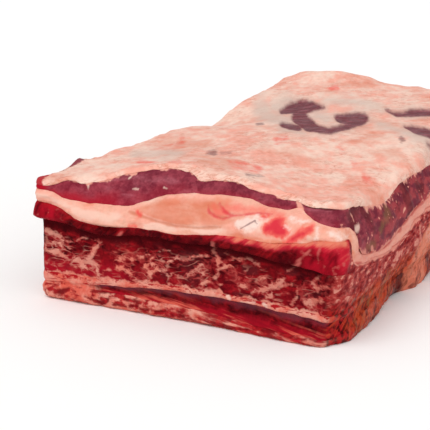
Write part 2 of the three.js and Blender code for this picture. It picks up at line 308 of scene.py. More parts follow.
# Marks of the right wall are placed by the distance from the front cut and the height.
RIGHT_FAT = [
    [(8.5, 59.5, 0.3), (11, 58, 0.8), (13, 55.5, 0.3)],
    [(49, 55, 1.0), (50, 55, 1.0)],
    [(75, 47.4, 0.7), (78, 48.6, 0.5)],
    [(88, 37.5, 1.0), (89.5, 37, 0.9)],
    [(23, 31, 0.9), (24.5, 31.4, 0.8)],
    [(76, 27, 0.9), (85, 26.5, 0.6)],
    [(100, 34, 1.6), (109, 22, 1.4)],
]
RIGHT_BEAD = [[(13.5, 52.5, 1.4), (17, 52.5, 1.4)]]
RIGHT_OLIVE = [
    [(27, 42, 2.0), (37, 40.5, 2.2)],
    [(43, 46, 1.6), (57, 52, 3.0)],
]

# Marks of the top are placed along the camera's own level axes: to its right, and away from it.
# Away from the camera, places and widths are a fifth of their true depth.
TOP_AXIS = (0.8846, 0.4664)
TOP_DEPTH = 0.2
BARE_LEAN = [
    [(-11, 12.5, 1.4), (-5, 13, 2.7), (0.5, 13, 3.4), (7, 13, 2.4), (14, 11.5, 0.6)],
    [(-0.5, 12, 3.8), (-1.5, 5.5, 5.4), (1.5, 0.5, 4.6), (6, -2, 2.9), (11.5, -3, 2.2), (17, -2, 1.6)],
    [(-12.5, 2, 2.1), (-9.5, 1, 2.3), (-5, -0.5, 2.2)],
    [(21, 4.5, 3.3), (26, 3.5, 4.3), (31.5, 4, 3.8), (35.5, 5, 2.0)],
    [(13.5, -2.5, 1.6), (22.5, -0.5, 1.8), (31, 2, 1.4), (36, 3, 0.5)],
    [(49.5, 8.5, 0.4), (54, 6.5, 1.3), (59, 6.5, 1.4), (67, 7, 2.0), (76, 6.5, 1.2)],
    [(54.5, -1.5, 0.7), (58, -3, 2.4), (65, -4.5, 2.6), (71, -6.5, 1.4)],
    [(61.4, -8.8, 0.5), (65, -9.2, 0.7)],
]
FAT_ISLAND = [[(8.7, 7.2, 3.2), (13.3, 6.1, 4.4), (10.9, 2.4, 2.9)]]
TOP_BLOOD = [
    [(22.2, 20.9, 1.9), (26, 22.1, 2.2)],
    [(-18.6, -8.2, 1.6), (-13, -6.8, 1.4)],
    [(13.8, -11.6, 1.2), (15, -11.6, 0.8)],
    [(18.3, -15.9, 1.4), (20, -15.7, 0.8)],
    [(22.4, -20.8, 2.1), (24, -20.8, 1.6)],
    [(-83.5, -7, 0.6), (-73, -6, 1.4), (-69.5, -4.5, 2.6)],
    [(-89.5, -15.5, 1.8), (-68.5, -19.5, 1.8)],
    [(-44, -18.5, 2.0), (-37, -19.5, 2.6), (-30, -20, 2.0)],
]
TOP_GREY = [
    [(-23, 15, 5), (-17, 8, 5.5), (-8, 7, 3)],
    [(-15, 15, 3), (-4, 17, 2)],
    [(9, 7, 3.5), (12.5, 5, 4)],
    [(15, 15, 1.5), (32, 13, 2.5), (46, 9.5, 2)],
    [(-93.2, -10.2, 2.0), (-69.7, -10.8, 2.2)],
    [(41, 0, 2), (54.4, -6, 3), (62, -8.4, 3)],
    [(-14, -1, 2.0), (-4, -4, 1.5)],
]
LEFT_TIP = [[(-82, -5, 8.5), (-81, 1, 6), (-79, 14, 1.2), (-78, 26, 1.2), (-77, 33, 2.0), (-77, 38, 0.8)]]
TOP_DARK = [
    [(-55.2, -13.1, 0.9), (-52, -13.1, 1.7)],
    [(-48.1, -12.8, 0.3), (-43.3, -13.1, 0.4)],
    [(-36.1, -23, 0.6), (-27.5, -22.6, 0.4)],
    [(47.8, -8.2, 1.0), (48.6, -8, 1.0)],
    [(-26.5, 3.6, 1.2), (-24.5, 3.6, 1.2)],
]


def tone(code):
    """A colour given as 0xRRGGBB, turned from display values to linear light."""
    channels = np.array([(code >> shift) & 255 for shift in (16, 8, 0)]) / 255
    linear = np.where(channels <= 0.04045, channels / 12.92, ((channels + 0.055) / 1.055) ** 2.4)
    return tuple(float(c) for c in linear)


def length(name, description, mm):
    """A length property with its default in millimetres."""
    return FloatProperty(name=name, description=description, default=mm * MM, unit="LENGTH", precision=4)


def colour(name, description, code):
    """A colour property with its default as 0xRRGGBB."""
    return FloatVectorProperty(
        name=name, description=description, subtype="COLOR", size=3, min=0, max=1, default=tone(code)
    )


def light_strength(name, description, amount):
    """A strength of light, from nought up."""
    return FloatProperty(name=name, description=description, default=amount, min=0)


class SlabSizes(bpy.types.PropertyGroup):
    """Sizes of the slab and its layers."""

    left: length("Left end", "X of the left wall", -79.5)
    right: length("Right end", "X of the right wall at the underside", 75)
    depth: length("Depth", "Front cut to back cut, across the ribs", 296)
    front_left_corner: length("Front left corner", "Plan radius of the front left corner", 4)
    front_right_corner: length("Front right corner", "Plan radius of the front right corner", 2)
    back_corner: length("Back corner", "Plan radius of the back corners", 22)
    rib_pitch: length("Rib pitch", "From one rib to the next", 73)
    first_notch: length("First notch", "Front cut to the first space between two ribs", 87)
    rib_swell: length("Rib swell", "How far the rib ends swell the right wall", 9.5)
    right_lean: length("Right lean", "How far the right wall leans out", 10)
    left_hollow: length("Left hollow", "How far the left wall draws in under the flap", 2.2)
    lip_reach: length("Lip reach", "How far the flap stands out from the front cut", 4)
    lip_height: length("Lip height", "Height at which the front cut turns out to the lip", 43.5)
    shoulder: length("Shoulder", "How far the fat cap's front edge is set back", 22)
    heel: length("Heel", "How far the base stands out at the front right", 4)
    fat_edge: length("Fat at the edge", "Thickness of the fat cap at its edge", 2)
    fat_depth: length("Fat inside", "Thickness of the fat cap away from its edge", 5)
    step: length("Step", "Distance between mesh columns on the front cut", 0.5)


class MeatColours(bpy.types.PropertyGroup):
    """Colours of the fat and the lean."""

    # Pale fat is also a painted highlight on the seam's swells, and painted glints on the cap lean and the
    # lower seam.
    fat_pale: colour("Pale fat", "Fat where it is cleanest", 0xF1CDBC)
    fat_warm: colour("Warm fat", "Fat of the cap and the seam where it is pink", 0xEFA794)
    fat_grey: colour("Grey fat", "Bloodless streaks of the fat cap", 0xD2BCAF)
    fat_dusk: colour("Dusky fat", "Thin fat round the bare patches", 0xCFAFA2)
    fat_line: colour("Fat threads", "Fine threads and creases in the fat", 0xC9765A)
    fat_cream: colour("Cream fat", "Seam fat on the front shoulder", 0xEAAD97)
    fat_orange: colour("Orange fat", "Seam fat above its crease, and blotches of the fat cap", 0xD4704F)
    fat_coral: colour("Coral fat", "Fat of the base and of the seam above it", 0xD8604F)
    fat_vein: colour("Vein fat", "Marbling in the lean and pale fat of the base", 0xE29C8A)
    # Rose fat also paints the glints on the flap's fresh ends.
    fat_rose: colour("Rose fat", "Veins and wet glints of the flap", 0xCC6A62)
    fat_salmon: colour("Salmon fat", "Marbling where it is warm", 0xE2826F)
    # Peach fat is also the painted shade in the seam fat's hollows.
    fat_peach: colour("Peach fat", "Seam fat's hollows, the flap's rim and fat behind rib spaces", 0xE2866A)
    fat_flush: colour("Flushed fat", "Fat that blood has coloured", 0xEC6054)
    fat_white: colour("White fat", "Torn tissue in the seam", 0xF6DDD2)
    blood: colour("Blood", "Red stains on the fat", 0xD52F3F)
    # Deep lean is also painted shade: under the flap, along the flap's foot and under the fat cap's edge.
    lean_deep: colour("Deep lean", "Darkest lean of the cut", 0x40050B)
    lean_mid: colour("Middle lean", "Lean of the cut", 0x780D15)
    lean_bright: colour("Bright lean", "Fresh red lean", 0xA8171F)
    lean_dull: colour("Dull lean", "Lean that has begun to brown", 0x541A1E)
    lean_sheen: colour("Sheen", "Bluish sheen on the purple lean", 0xA65D68)
    lean_crimson: colour("Crimson lean", "Wet red ends of the flap and the cap", 0xB01327)
    lean_halo: colour("Halo", "Lean close to a vein of fat", 0xB03A39)
    lean_purple: colour("Purple lean", "Lean under the fat cap", 0x93404C)
    # Plum lean is also the painted shade at the top of the cap lean, under the fat.
    lean_plum: colour("Plum lean", "Darkest lean under the fat cap", 0x6E2836)
    lean_wall: colour("Wall lean", "Lean of the right wall", 0xB4443F)
    lean_bare: colour("Bare lean", "Lean that shows through the fat cap", 0x64303C)
    fat_wall: colour("Wall fat", "Fat of the right wall's stripe and specks", 0xDE9080)
    skin_olive: colour("Olive skin", "Dry patches on the right wall", 0x80603F)
    skin_brown: colour("Brown skin", "Dry membrane on the right wall", 0x761C0C)
    skin_tan: colour("Tan skin", "Dry fat on the right wall", 0xC04626)


class StageSettings(bpy.types.PropertyGroup):
    """Camera, floor and lights."""

    lens: FloatProperty(
        name="Lens", description="Focal length on a 36 mm frame", default=117.2, unit="CAMERA"
    )
    azimuth: FloatProperty(
        name="Azimuth", description="Camera's turn to the right", default=0.4852, unit="ROTATION"
    )
    elevation: FloatProperty(
        name="Elevation", description="Camera's height above level", default=0.26, unit="ROTATION"
    )
    camera_at: FloatVectorProperty(
        name="Camera", description="Camera's place", default=(0.3143, -0.7062, 0.2234), subtype="TRANSLATION"
    )
    floor_size: length("Floor", "Side of the square floor", 9000)
    floor_colour: colour("Floor colour", "Pale floor", 0xFDFCFB)
    sky: light_strength("Sky", "Strength of the even light", 0.66)
    key_light: light_strength("Key light", "Strength of the light from the left", 1.15)
    fill_light: light_strength("Fill light", "Strength of the light from the right", 0.5)


def hill(at, centre, width):
    """A bell of height one about a centre."""
    return np.exp(-(((at - centre) / width) ** 2))


def smooth(low, high, at):
    """An even step from nought at low to one at high."""
    t = np.clip((at - low) / (high - low), 0, 1)
    return t * t * (3 - 2 * t)


def through(pairs, at):
    """A smooth curve through (place, height) pairs: cubics, with slopes from the points on either side."""
    if np.isscalar(pairs):
        return np.full(np.shape(at), float(pairs))
    place, height = np.array(pairs, dtype=float).T
    before = np.maximum(np.arange(len(place)) - 1, 0)
    after = np.minimum(np.arange(len(place)) + 1, len(place) - 1)
    slope = (height[after] - height[before]) / (place[after] - place[before])
    at = np.clip(at, place[0], place[-1])
    i = np.clip(np.searchsorted(place, at, side="left") - 1, 0, len(place) - 2)
    span = place[i + 1] - place[i]
    t = (at - place[i]) / span
    rise = 3 * t**2 - 2 * t**3
    leave = (t**3 - 2 * t**2 + t) * span * slope[i]
    arrive = (t**3 - t**2) * span * slope[i + 1]
    return height[i] + (height[i + 1] - height[i]) * rise + leave + arrive


def lattice(ix, iy, iz, seed):
    """A repeatable value from minus one to one for each point of a whole-number grid."""
    h = (ix * 374761393 + iy * 668265263 + iz * 1440662683 + seed * 974634777) & 0xFFFFFFFF
    h = ((h ^ (h >> 13)) * 1274126177) & 0xFFFFFFFF
    return ((h ^ (h >> 16)) & 0xFFFF) / 32767.5 - 1


def lumps(x, y, z, size, seed, octaves=2):
    """Smooth noise from about minus one to one: grid values eased between neighbours, plus finer octaves."""
    total = np.zeros(np.broadcast(x, y, z).shape)
    for octave in range(octaves):
        cell = size / 2**octave
        px, py, pz = (np.broadcast_to(c, total.shape) / cell + 0.37 * (octave + 1) for c in (x, y, z))
        ix, iy, iz = (np.floor(c).astype(np.int64) for c in (px, py, pz))
        fx, fy, fz = (c - i for c, i in ((px, ix), (py, iy), (pz, iz)))
        fx, fy, fz = (f**3 * (f * (6 * f - 15) + 10) for f in (fx, fy, fz))
        value = 0
        for dx, wx in ((0, 1 - fx), (1, fx)):
            for dy, wy in ((0, 1 - fy), (1, fy)):
                for dz, wz in ((0, 1 - fz), (1, fz)):
                    value = value + wx * wy * wz * lattice(ix + dx, iy + dy, iz + dz, seed + octave)
        total += value / 2**octave
    return total


def strokes(u, v, marks):
    """How far inside the nearest of some tapered strokes each point is, in mm: half width less distance."""
    inside = np.full(np.broadcast(u, v).shape, OUTSIDE)
    for points in marks:
        for (au, av, a_half), (bu, bv, b_half) in zip(points, points[1:]):
            du, dv = bu - au, bv - av
            t = np.clip(((u - au) * du + (v - av) * dv) / (du * du + dv * dv), 0, 1)
            half = a_half + (b_half - a_half) * t
            inside = np.maximum(inside, half - np.hypot(u - au - t * du, v - av - t * dv))
    return inside


@dataclass
class Outline:
    """Columns round the slab, anticlockwise from the front left: places in mm and outward normals."""

    x: np.ndarray
    y: np.ndarray
    out_x: np.ndarray
    out_y: np.ndarray
    back: np.ndarray

    def faces(self):
        """How far each column faces the front, right, back and left. The four shares add up to one."""
        return [np.maximum(0, f) ** 2 for f in (-self.out_y, self.out_x, self.out_y, -self.out_x)]

    def by_side(self, front, right, back, left):
        """A value that differs by side, blended round the corners."""
        return sum(share * value for share, value in zip(self.faces(), (front, right, back, left)))


def slab_outline(sizes):
    """A rectangle with round corners: straight runs cut into even steps, joined by quarter circles."""
    left, right, depth = sizes.left / MM, sizes.right / MM, sizes.depth / MM
    left_r, right_r, back_r = (
        r / MM for r in (sizes.front_left_corner, sizes.front_right_corner, sizes.back_corner)
    )
    near, far = -depth / 2, depth / 2
    corner_places = ((left, near), (right, near), (right, far), (left, far))
    corners = list(zip(corner_places, (left_r, right_r, back_r, back_r)))
    steps = [sizes.step / MM * factor for factor in (1, 1.6, 4, 3)]
    places, normals = [], []
    for i, (out, step) in enumerate(zip(((0, -1), (1, 0), (0, 1), (-1, 0)), steps)):
        (start, start_r), (end, end_r) = corners[i], corners[(i + 1) % 4]
        start, end, out = np.array(start), np.array(end), np.array(out, dtype=float)
        along = (end - start) / np.linalg.norm(end - start)
        run = np.linalg.norm(end - start) - start_r - end_r
        s = np.linspace(0, run, int(run / step) + 1)
        places.append(start + along * (start_r + s[:, None]))
        normals.append(np.tile(out, (len(s), 1)))
        turn = np.linspace(0, np.pi / 2, max(8, int(end_r / 2)) + 1)[1:-1, None]
        round_out = out * np.cos(turn) + along * np.sin(turn)
        places.append(end - along * end_r - out * end_r + round_out * end_r)
        normals.append(round_out)
    (x, y), (out_x, out_y) = np.concatenate(places).T, np.concatenate(normals).T
    return Outline(x, y, out_x, out_y, y - near)


def top_height(x, back):
    """Top of the fat: a crown behind the front edge, a full middle, a left dip and a high back corner."""
    crown = 9.5 * hill(x, -4, 42) * hill(back, 15, 55)
    middle = 7 * hill(x, 15, 65) * smooth(40, 120, back)
    right_rise = 4 * smooth(20, 75, x) * smooth(70, 150, back)
    back_rise = 6 * smooth(190, 240, back) * (1 - 0.6 * smooth(-50, 20, x))
    back_peak = 9 * hill(x, -55, 35) * hill(back, 300, 28)
    left_dip = 6 * hill(x, -80, 35) * hill(back, 176, 24)
    return 63 + crown + middle + right_rise + back_rise + back_peak - left_dip


class Slab:
    """The slab's shared shape: edge heights, walls and hidden interfaces, all in mm."""

    def __init__(self, sizes):
        self.sizes = sizes
        self.line = slab_outline(sizes)
        self.near = -sizes.depth / MM / 2

    def edge(self, name):
        """Height of a layer's edge at each column, with a small waver along it."""
        line = self.line
        if name == "fat_top":
            thick = 1 + 0.35 * lumps(line.x, line.y, 0.0, 9, 91)
            return self.edge("cap_top") + self.sizes.fat_edge / MM * thick
        sides = EDGES[name]
        height = line.by_side(
            through(sides["front"], line.x),
            through(sides["right"], line.back),
            through(sides["back"], line.x),
            through(sides["left"], line.back),
        )
        if name == "underside":
            return height
        waver = 0.6 if name == "cap_top" else 0.35
        return height + waver * lumps(line.x, line.y, 0.0, 8, 100 + list(EDGES).index(name), 3)

    def rounding(self, radius):
        """The radius of a layer's rounded end at each column, next to nothing on the right wall."""
        return self.line.by_side(radius, 0.05, radius, radius)

    def reach(self, height):
        """How far the wall stands out from the outline at a height: the lips, the lean and the rib ends."""
        sizes, back = self.sizes, self.line.back
        inset = FOOT_INSET * np.maximum(0, 1 - height / FOOT_HEIGHT)
        lip_height = sizes.lip_height / MM
        lip = sizes.lip_reach / MM * smooth(lip_height - 2, lip_height + 1.5, height)
        heel = sizes.heel / MM * np.exp(-height / HEEL_FADE) * smooth(0, 70, self.line.x)
        lean = sizes.right_lean / MM * np.clip(height / LEAN_HEIGHT, 0, 1) ** 0.8
        rib = smooth(-6, 14, back)
        for space in range(RIB_SPACES):
            notch = (sizes.first_notch + space * sizes.rib_pitch) / MM
            rib = rib - NOTCH_DEPTH * hill(back, notch, np.where(back < notch, *NOTCH_WIDTHS))
        swell = sizes.rib_swell / MM * np.exp(-height / RIB_FADE) * rib
        top_pull = TOP_PULL * smooth(*TOP_PULL_RISE, height)
        overhang = 0.5 * smooth(38, 42, height) - sizes.left_hollow / MM * hill(height, 32, 10)
        front = lip + heel
        right = lean + swell - top_pull
        left = overhang - 0.5 * top_pull
        return self.line.by_side(front, right, -top_pull, left) - inset

    def rib_fat(self, skin):
        """Where fat covers a skin's right wall: a patch with wavering edges behind each rib space."""
        lean = RIB_FAT_LEAN * np.maximum(0, skin.z - RIB_FAT_FOOT)
        behind = self.line.back - lean - self.sizes.first_notch / MM + RIB_FAT_WAVER * skin.noise(22, 71)
        cover = 0
        for space in range(RIB_SPACES):
            past = behind - space * self.sizes.rib_pitch / MM
            patch = smooth(*RIB_FAT_START, past) * smooth(*RIB_FAT_END, past)
            cover = np.maximum(cover, patch * RIB_FAT_FADE**space)
        return cover * self.line.faces()[1]

    def plan(self, height, extra):
        """The wall in plan at a height, with the front pushed back above the lip to slope as a shoulder."""
        sizes, line = self.sizes, self.line
        reach = self.reach(height) + extra
        x = line.x + line.out_x * reach
        y = line.y + line.out_y * reach
        above = np.maximum(0, (height - SHOULDER_FOOT) / SHOULDER_RISE)
        setback = sizes.shoulder / MM * above**1.4 * (1 - hill(x, sizes.left / MM, 28))
        return x, y + setback * np.maximum(0, 1 - line.back / SHOULDER_RUN)

    def interface(self, name, shares, lift):
        """Rings of an interface from its edge (share 0) towards the middle of the slab (share 1)."""
        edge = self.edge(name)
        x, y = self.plan(edge, 0)
        shares = np.asarray(shares, dtype=float)[:, None]
        x, y = x * (1 - shares), y * (1 - shares)
        if name in ("cap_top", "fat_top"):
            inner = top_height(x, y - self.near) - (self.sizes.fat_depth / MM if name == "cap_top" else 0)
            roll = np.sqrt(1 - (1 - np.clip(shares / FAT_ROLL, 0, 1)) ** 2)
        else:
            inner = CORE_HEIGHTS[name]
            roll = smooth(0, HIDDEN_EASE, shares)
        return x, y, edge + (inner - edge) * roll + lift

    def wall(self, lower, upper, rows, lip=0.0, bulge=0.0, ends=(0.3, 0.3)):
        """Wall rows between two edges: the slab's wall, with a lip, a bulge and rounded ends that tuck in.

        The rows run closer together at both ends. A rounded end follows a quarter circle of its radius.
        """
        u = np.linspace(0, 1, rows)[:, None]
        share = 0.55 * u + 0.45 * smooth(0, 1, u)
        low, high = self.edge(lower), self.edge(upper)
        low_x, low_y = self.plan(low, 0)
        high_x, high_y = self.plan(high, 0)
        run = np.sqrt((high - low) ** 2 + (high_x - low_x) ** 2 + (high_y - low_y) ** 2)
        extra = lip * (1 - share) + bulge * 4 * share * (1 - share)
        for end, gone in zip(ends, (share * run, (1 - share) * run)):
            radius = self.rounding(end)
            left = np.clip(1 - gone / radius, 0, 1)
            extra = extra - radius * (1 - np.sqrt(1 - left**2))
        x, y = self.plan(low + (high - low) * share, extra)
        low_tuck = 0 if lower == "underside" else TUCK
        z = low - low_tuck + (high - low + low_tuck + TUCK) * share
        return x, y, z, np.broadcast_to(share, x.shape)


@dataclass
class Skin:
    """A closed skin as rings of columns, with each point's share up the wall: -1 below it, 2 above it."""

    line: Outline
    x: np.ndarray
    y: np.ndarray
    z: np.ndarray
    share: np.ndarray

    def noise(self, size, seed, octaves=2):
        """Lumps of a size over the skin."""
        return lumps(self.x, self.y, self.z, size, seed, octaves)

    def push(self, out, up=0.0):
        """Moves the wall outwards, and what lies above it upwards, by amounts in mm."""
        on_wall = (self.share >= 0) & (self.share <= 1)
        self.x = self.x + np.where(on_wall, self.line.out_x * out, 0)
        self.y = self.y + np.where(on_wall, self.line.out_y * out, 0)
        self.z = self.z + np.where(self.share > 1, up, 0)

    def front_marks(self, marks):
        """Strokes on the front cut and just round its corners."""
        near = (self.line.faces()[0] > 0.3) | (self.line.back < 8)
        return np.where(near, strokes(self.x, self.z, marks), OUTSIDE)

    def right_marks(self, marks):
        """Strokes on the right wall."""
        back = self.line.back + 0 * self.z
        return np.where(self.line.faces()[1] > 0.3, strokes(back, self.z, marks), OUTSIDE)

    def fields(self, **extra):
        """Fields that every layer carries, and its own: the share up the wall, and which face it is on."""
        front, right = (smooth(0.6, 0.9, face) + 0 * self.x for face in self.line.faces()[:2])
        return {"share": np.clip(self.share, 0, 1), "front": front, "right": right, **extra}


def layer_skin(slab, lower, upper, rows, top_rings=HIDDEN_RINGS, **profile):
    """A layer's skin: out from the middle along the lower interface, up the wall, and back to the middle."""
    x, y, z = slab.interface(lower, HIDDEN_RINGS[::-1], 0 if lower == "underside" else -TUCK)
    parts = [(x, y, z, np.full(x.shape, -1.0))]
    parts.append(slab.wall(lower, upper, rows, **profile))
    x, y, z = slab.interface(upper, top_rings, TUCK)
    parts.append((x, y, z, np.full(x.shape, 2.0)))
    return Skin(slab.line, *(np.concatenate(rings) for rings in zip(*parts)))


def skin_object(name, skin, fields):
    """A mesh object from a skin: quads between neighbouring rings, and a fan to a point at each end."""
    rings, columns = skin.x.shape
    points = np.stack([skin.x, skin.y, skin.z], -1).reshape(-1, 3)
    low_pole = points[:columns].mean(0) * (0, 0, 1)
    high_pole = points[-columns:].mean(0) * (0, 0, 1)
    points = np.concatenate([points, [low_pole, high_pole]]) * MM
    ring = np.arange(rings - 1)[:, None] * columns
    here = np.arange(columns)[None, :]
    after = (here + 1) % columns
    above = ring + columns
    quads = np.stack([ring + here, ring + after, above + after, above + here], -1).reshape(-1, 4)
    top = (rings - 1) * columns
    pole = rings * columns
    low_fan = np.stack([np.full(columns, pole), after[0], here[0]], -1)
    high_fan = np.stack([np.full(columns, pole + 1), top + here[0], top + after[0]], -1)
    corners = np.concatenate([quads.ravel(), low_fan.ravel(), high_fan.ravel()])
    counts = np.concatenate([np.full(len(quads), 4), np.full(2 * columns, 3)])
    starts = np.concatenate([[0], np.cumsum(counts)[:-1]])

    mesh = bpy.data.meshes.new(name)
    mesh.vertices.add(len(points))
    mesh.vertices.foreach_set("co", points.ravel())
    mesh.loops.add(len(corners))
    mesh.loops.foreach_set("vertex_index", corners.astype(np.int32))
    mesh.polygons.add(len(counts))
    mesh.polygons.foreach_set("loop_start", starts.astype(np.int32))
    mesh.polygons.foreach_set("use_smooth", np.ones(len(counts), dtype=bool))
    mesh.update(calc_edges=True)
    for field, values in fields.items():
        flat = np.broadcast_to(values, skin.x.shape).reshape(-1)
        flat = np.concatenate([flat, [flat[:columns].mean(), flat[-columns:].mean()]])
        mesh.attributes.new(field, "FLOAT", "POINT").data.foreach_set("value", flat.astype(np.float32))
    piece = bpy.data.objects.new(name, mesh)
    bpy.context.scene.collection.objects.link(piece)
    return piece


def settle(piece, node, material):
    """Gives a piece its material, hangs it under the root body and hides the CAD node that it takes the
    place of.
    """
    piece.data.materials.append(material)
    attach(piece, "root")
    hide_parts(node)


class Graph:
    """Short calls for laying out the nodes of one node tree."""

    def __init__(self, tree):
        self.tree = tree

    def add(self, kind, inputs=None, **settings):
        """A node with settings, its inputs set by name or number to values or linked to sockets."""
        node = self.tree.nodes.new(kind)
        for setting, value in settings.items():
            setattr(node, setting, value)
        for key, value in (inputs or {}).items():
            socket = node.inputs[key]
            if isinstance(value, bpy.types.NodeSocket):
                self.tree.links.new(value, socket)
            else:
                socket.default_value = (*value, 1.0) if socket.type == "RGBA" and len(value) == 3 else value
        return node

    def math(self, operation, a, b=0.0):
        """The result of one sum."""
        return self.add("ShaderNodeMath", {0: a, 1: b}, operation=operation).outputs[0]

    def vector(self, operation, a, b):
        """The result of one vector sum. Scaling takes a number as its second value."""
        key = "Scale" if operation == "SCALE" else 1
        return self.add("ShaderNodeVectorMath", {0: a, key: b}, operation=operation).outputs[0]

    def mix(self, factor, a, b):
        """Two colours mixed by a factor."""
        return self.add("ShaderNodeMix", {0: factor, 6: a, 7: b}, data_type="RGBA").outputs[2]

    def ramp(self, value, low, high, to_low=0.0, to_high=1.0):
        """An eased step of a value from low to high."""
        inputs = {"Value": value, 1: low, 2: high, 3: to_low, 4: to_high}
        return self.add("ShaderNodeMapRange", inputs, interpolation_type="SMOOTHSTEP").outputs[0]

    def noise(self, vector, scale, detail=3.0, roughness=0.5, distortion=0.0):
        """A noise value about a half."""
        inputs = {
            "Vector": vector,
            "Scale": scale,
            "Detail": detail,
            "Roughness": roughness,
            "Distortion": distortion,
        }
        return self.add("ShaderNodeTexNoise", inputs).outputs["Fac"]

    def wander(self, vector, scale, amount, detail=3.0):
        """A noise about nought, up to half an amount either way."""
        return self.math("MULTIPLY", self.math("SUBTRACT", self.noise(vector, scale, detail), 0.5), amount)

    def stretch(self, vector, scale, turn=(0.0, 0.0, 0.0)):
        """A vector turned and scaled by axis."""
        return self.add("ShaderNodeMapping", {"Vector": vector, "Scale": scale, "Rotation": turn}).outputs[0]

    def axis(self, vector, name):
        """One axis of a vector."""
        return self.add("ShaderNodeSeparateXYZ", {0: vector}).outputs[name]

    def field(self, name):
        """A field carried by the mesh."""
        return self.add("ShaderNodeAttribute", attribute_name=name).outputs["Fac"]

    def group(self, make, inputs):
        """The outputs of a shared node group, which is made on its first use."""
        name = make.__name__.replace("_", " ").title()
        tree = bpy.data.node_groups.get(name) or make(name)
        return self.add("ShaderNodeGroup", inputs, node_tree=tree).outputs

    def send(self, target, **outputs):
        """Links sockets to the named outputs of a group."""
        for name, socket in outputs.items():
            self.tree.links.new(socket, target[name])


def new_group(name, inputs, outputs):
    """An empty shader node group with named sockets: its graph, what it is given and what it puts out."""
    tree = bpy.data.node_groups.new(name, "ShaderNodeTree")
    for in_out, sockets in (("INPUT", inputs), ("OUTPUT", outputs)):
        for socket, kind in sockets.items():
            tree.interface.new_socket(socket, in_out=in_out, socket_type="NodeSocket" + kind)
    g = Graph(tree)
    return g, g.add("NodeGroupInput").outputs, g.add("NodeGroupOutput").inputs


def ragged_edge(name):
    """A mark's ragged mask: the distance inside it, in mm, moved by two noises and eased over a softness."""
    g, given, out = new_group(
        name,
        {"Vector": "Vector", "Inside": "Float", "Wander": "Float", "Softness": "Float", "Strength": "Float"},
        {"Mask": "Float"},
    )
    wide = g.wander(given["Vector"], 130.0, given["Wander"])
    fine = g.wander(given["Vector"], 420.0, given["Wander"])
    place = g.math("ADD", given["Inside"], g.math("ADD", wide, fine))
    mask = g.ramp(place, g.math("MULTIPLY", given["Softness"], -1.0), given["Softness"])
    g.send(out, Mask=g.math("MULTIPLY", mask, given["Strength"]))
    return g.tree


def lean_fibres(name):
    """Lean: blotches and bundles of differing tone, streaks along the grain and a fine mottle.

    Height follows the grain.
    """
    g, given, out = new_group(
        name,
        {"Vector": "Vector", "Grain": "Vector", "Deep": "Color", "Middle": "Color", "Bright": "Color"},
        {"Color": "Color", "Height": "Float"},
    )
    blotch = g.noise(given["Vector"], 70.0, 3.0)
    mottle = g.noise(given["Vector"], 340.0, 2.0)
    cell = g.add("ShaderNodeTexVoronoi", {"Vector": given["Vector"], "Scale": 260.0}).outputs["Color"]
    bundle = g.axis(cell, "X")
    along = g.vector("MULTIPLY", given["Vector"], given["Grain"])
    grain = g.noise(along, 1.0, 4.0, 0.6, 0.4)
    speckle = g.noise(given["Vector"], 800.0, 2.0)
    level = g.math("ADD", g.math("MULTIPLY", blotch, 0.5), g.math("MULTIPLY", mottle, 0.38))
    level = g.math("ADD", level, g.math("MULTIPLY", bundle, 0.12))
    broad = g.mix(g.ramp(level, 0.38, 0.62), given["Deep"], given["Middle"])
    streaked = g.mix(g.ramp(grain, 0.48, 0.74, 0.0, 0.75), broad, given["Bright"])
    fleck = g.math("ADD", g.math("MULTIPLY", speckle, 0.9), 0.55)
    height = g.math("ADD", g.math("MULTIPLY", grain, 0.7), g.math("MULTIPLY", speckle, 0.3))
    g.send(out, Color=g.vector("SCALE", streaked, fleck), Height=height)
    return g.tree


def fat_tissue(name):
    """Fat: pale and warm clouds with finer mottling, thin threads along the fibres and stains.

    Height is soft lumps and the fibres, with the threads a little lower.
    """
    g, given, out = new_group(
        name,
        {
            "Vector": "Vector",
            "Fibre": "Vector",
            "Pale": "Color",
            "Warm": "Color",
            "Thread": "Color",
            "Threads": "Float",
            "Blood": "Color",
            "Stain": "Float",
        },
        {"Color": "Color", "Height": "Float"},
    )
    place = given["Vector"]
    cloud = g.noise(place, 55.0, 4.0, 0.6)
    mottle = g.noise(place, 210.0, 3.0, 0.6)
    fine = g.noise(place, 620.0, 2.0)
    along = g.vector("MULTIPLY", place, given["Fibre"])
    fibre = g.noise(along, 1.0, 4.0, 0.6, 0.6)
    off_middle = g.math("ABSOLUTE", g.math("SUBTRACT", fibre, 0.5))
    here = g.math("MULTIPLY", g.ramp(g.noise(place, 80.0, 2.0), 0.42, 0.6), given["Threads"])
    thread = g.math("MULTIPLY", g.ramp(off_middle, 0.04, 0.004), here)
    level = g.math("ADD", g.math("MULTIPLY", cloud, 0.55), g.math("MULTIPLY", mottle, 0.45))
    base = g.mix(g.ramp(level, 0.4, 0.62), given["Pale"], given["Warm"])
    lined = g.mix(thread, base, given["Thread"])
    edge = g.math("ADD", given["Stain"], g.math("MULTIPLY", g.math("SUBTRACT", mottle, 0.5), 1.4))
    stain = g.math("MULTIPLY", g.ramp(edge, 0.1, 1.0), given["Stain"])
    shade = g.math("ADD", g.math("MULTIPLY", fine, 0.24), 0.88)
    lumpy = g.math("ADD", g.math("MULTIPLY", fibre, 0.5), g.math("MULTIPLY", mottle, 0.4))
    lumpy = g.math("ADD", lumpy, g.math("MULTIPLY", fine, 0.15))
    height = g.math("SUBTRACT", lumpy, g.math("MULTIPLY", thread, 0.2))
    coloured = g.vector("SCALE", g.mix(stain, lined, given["Blood"]), shade)
    g.send(out, Color=coloured, Height=height)
    return g.tree


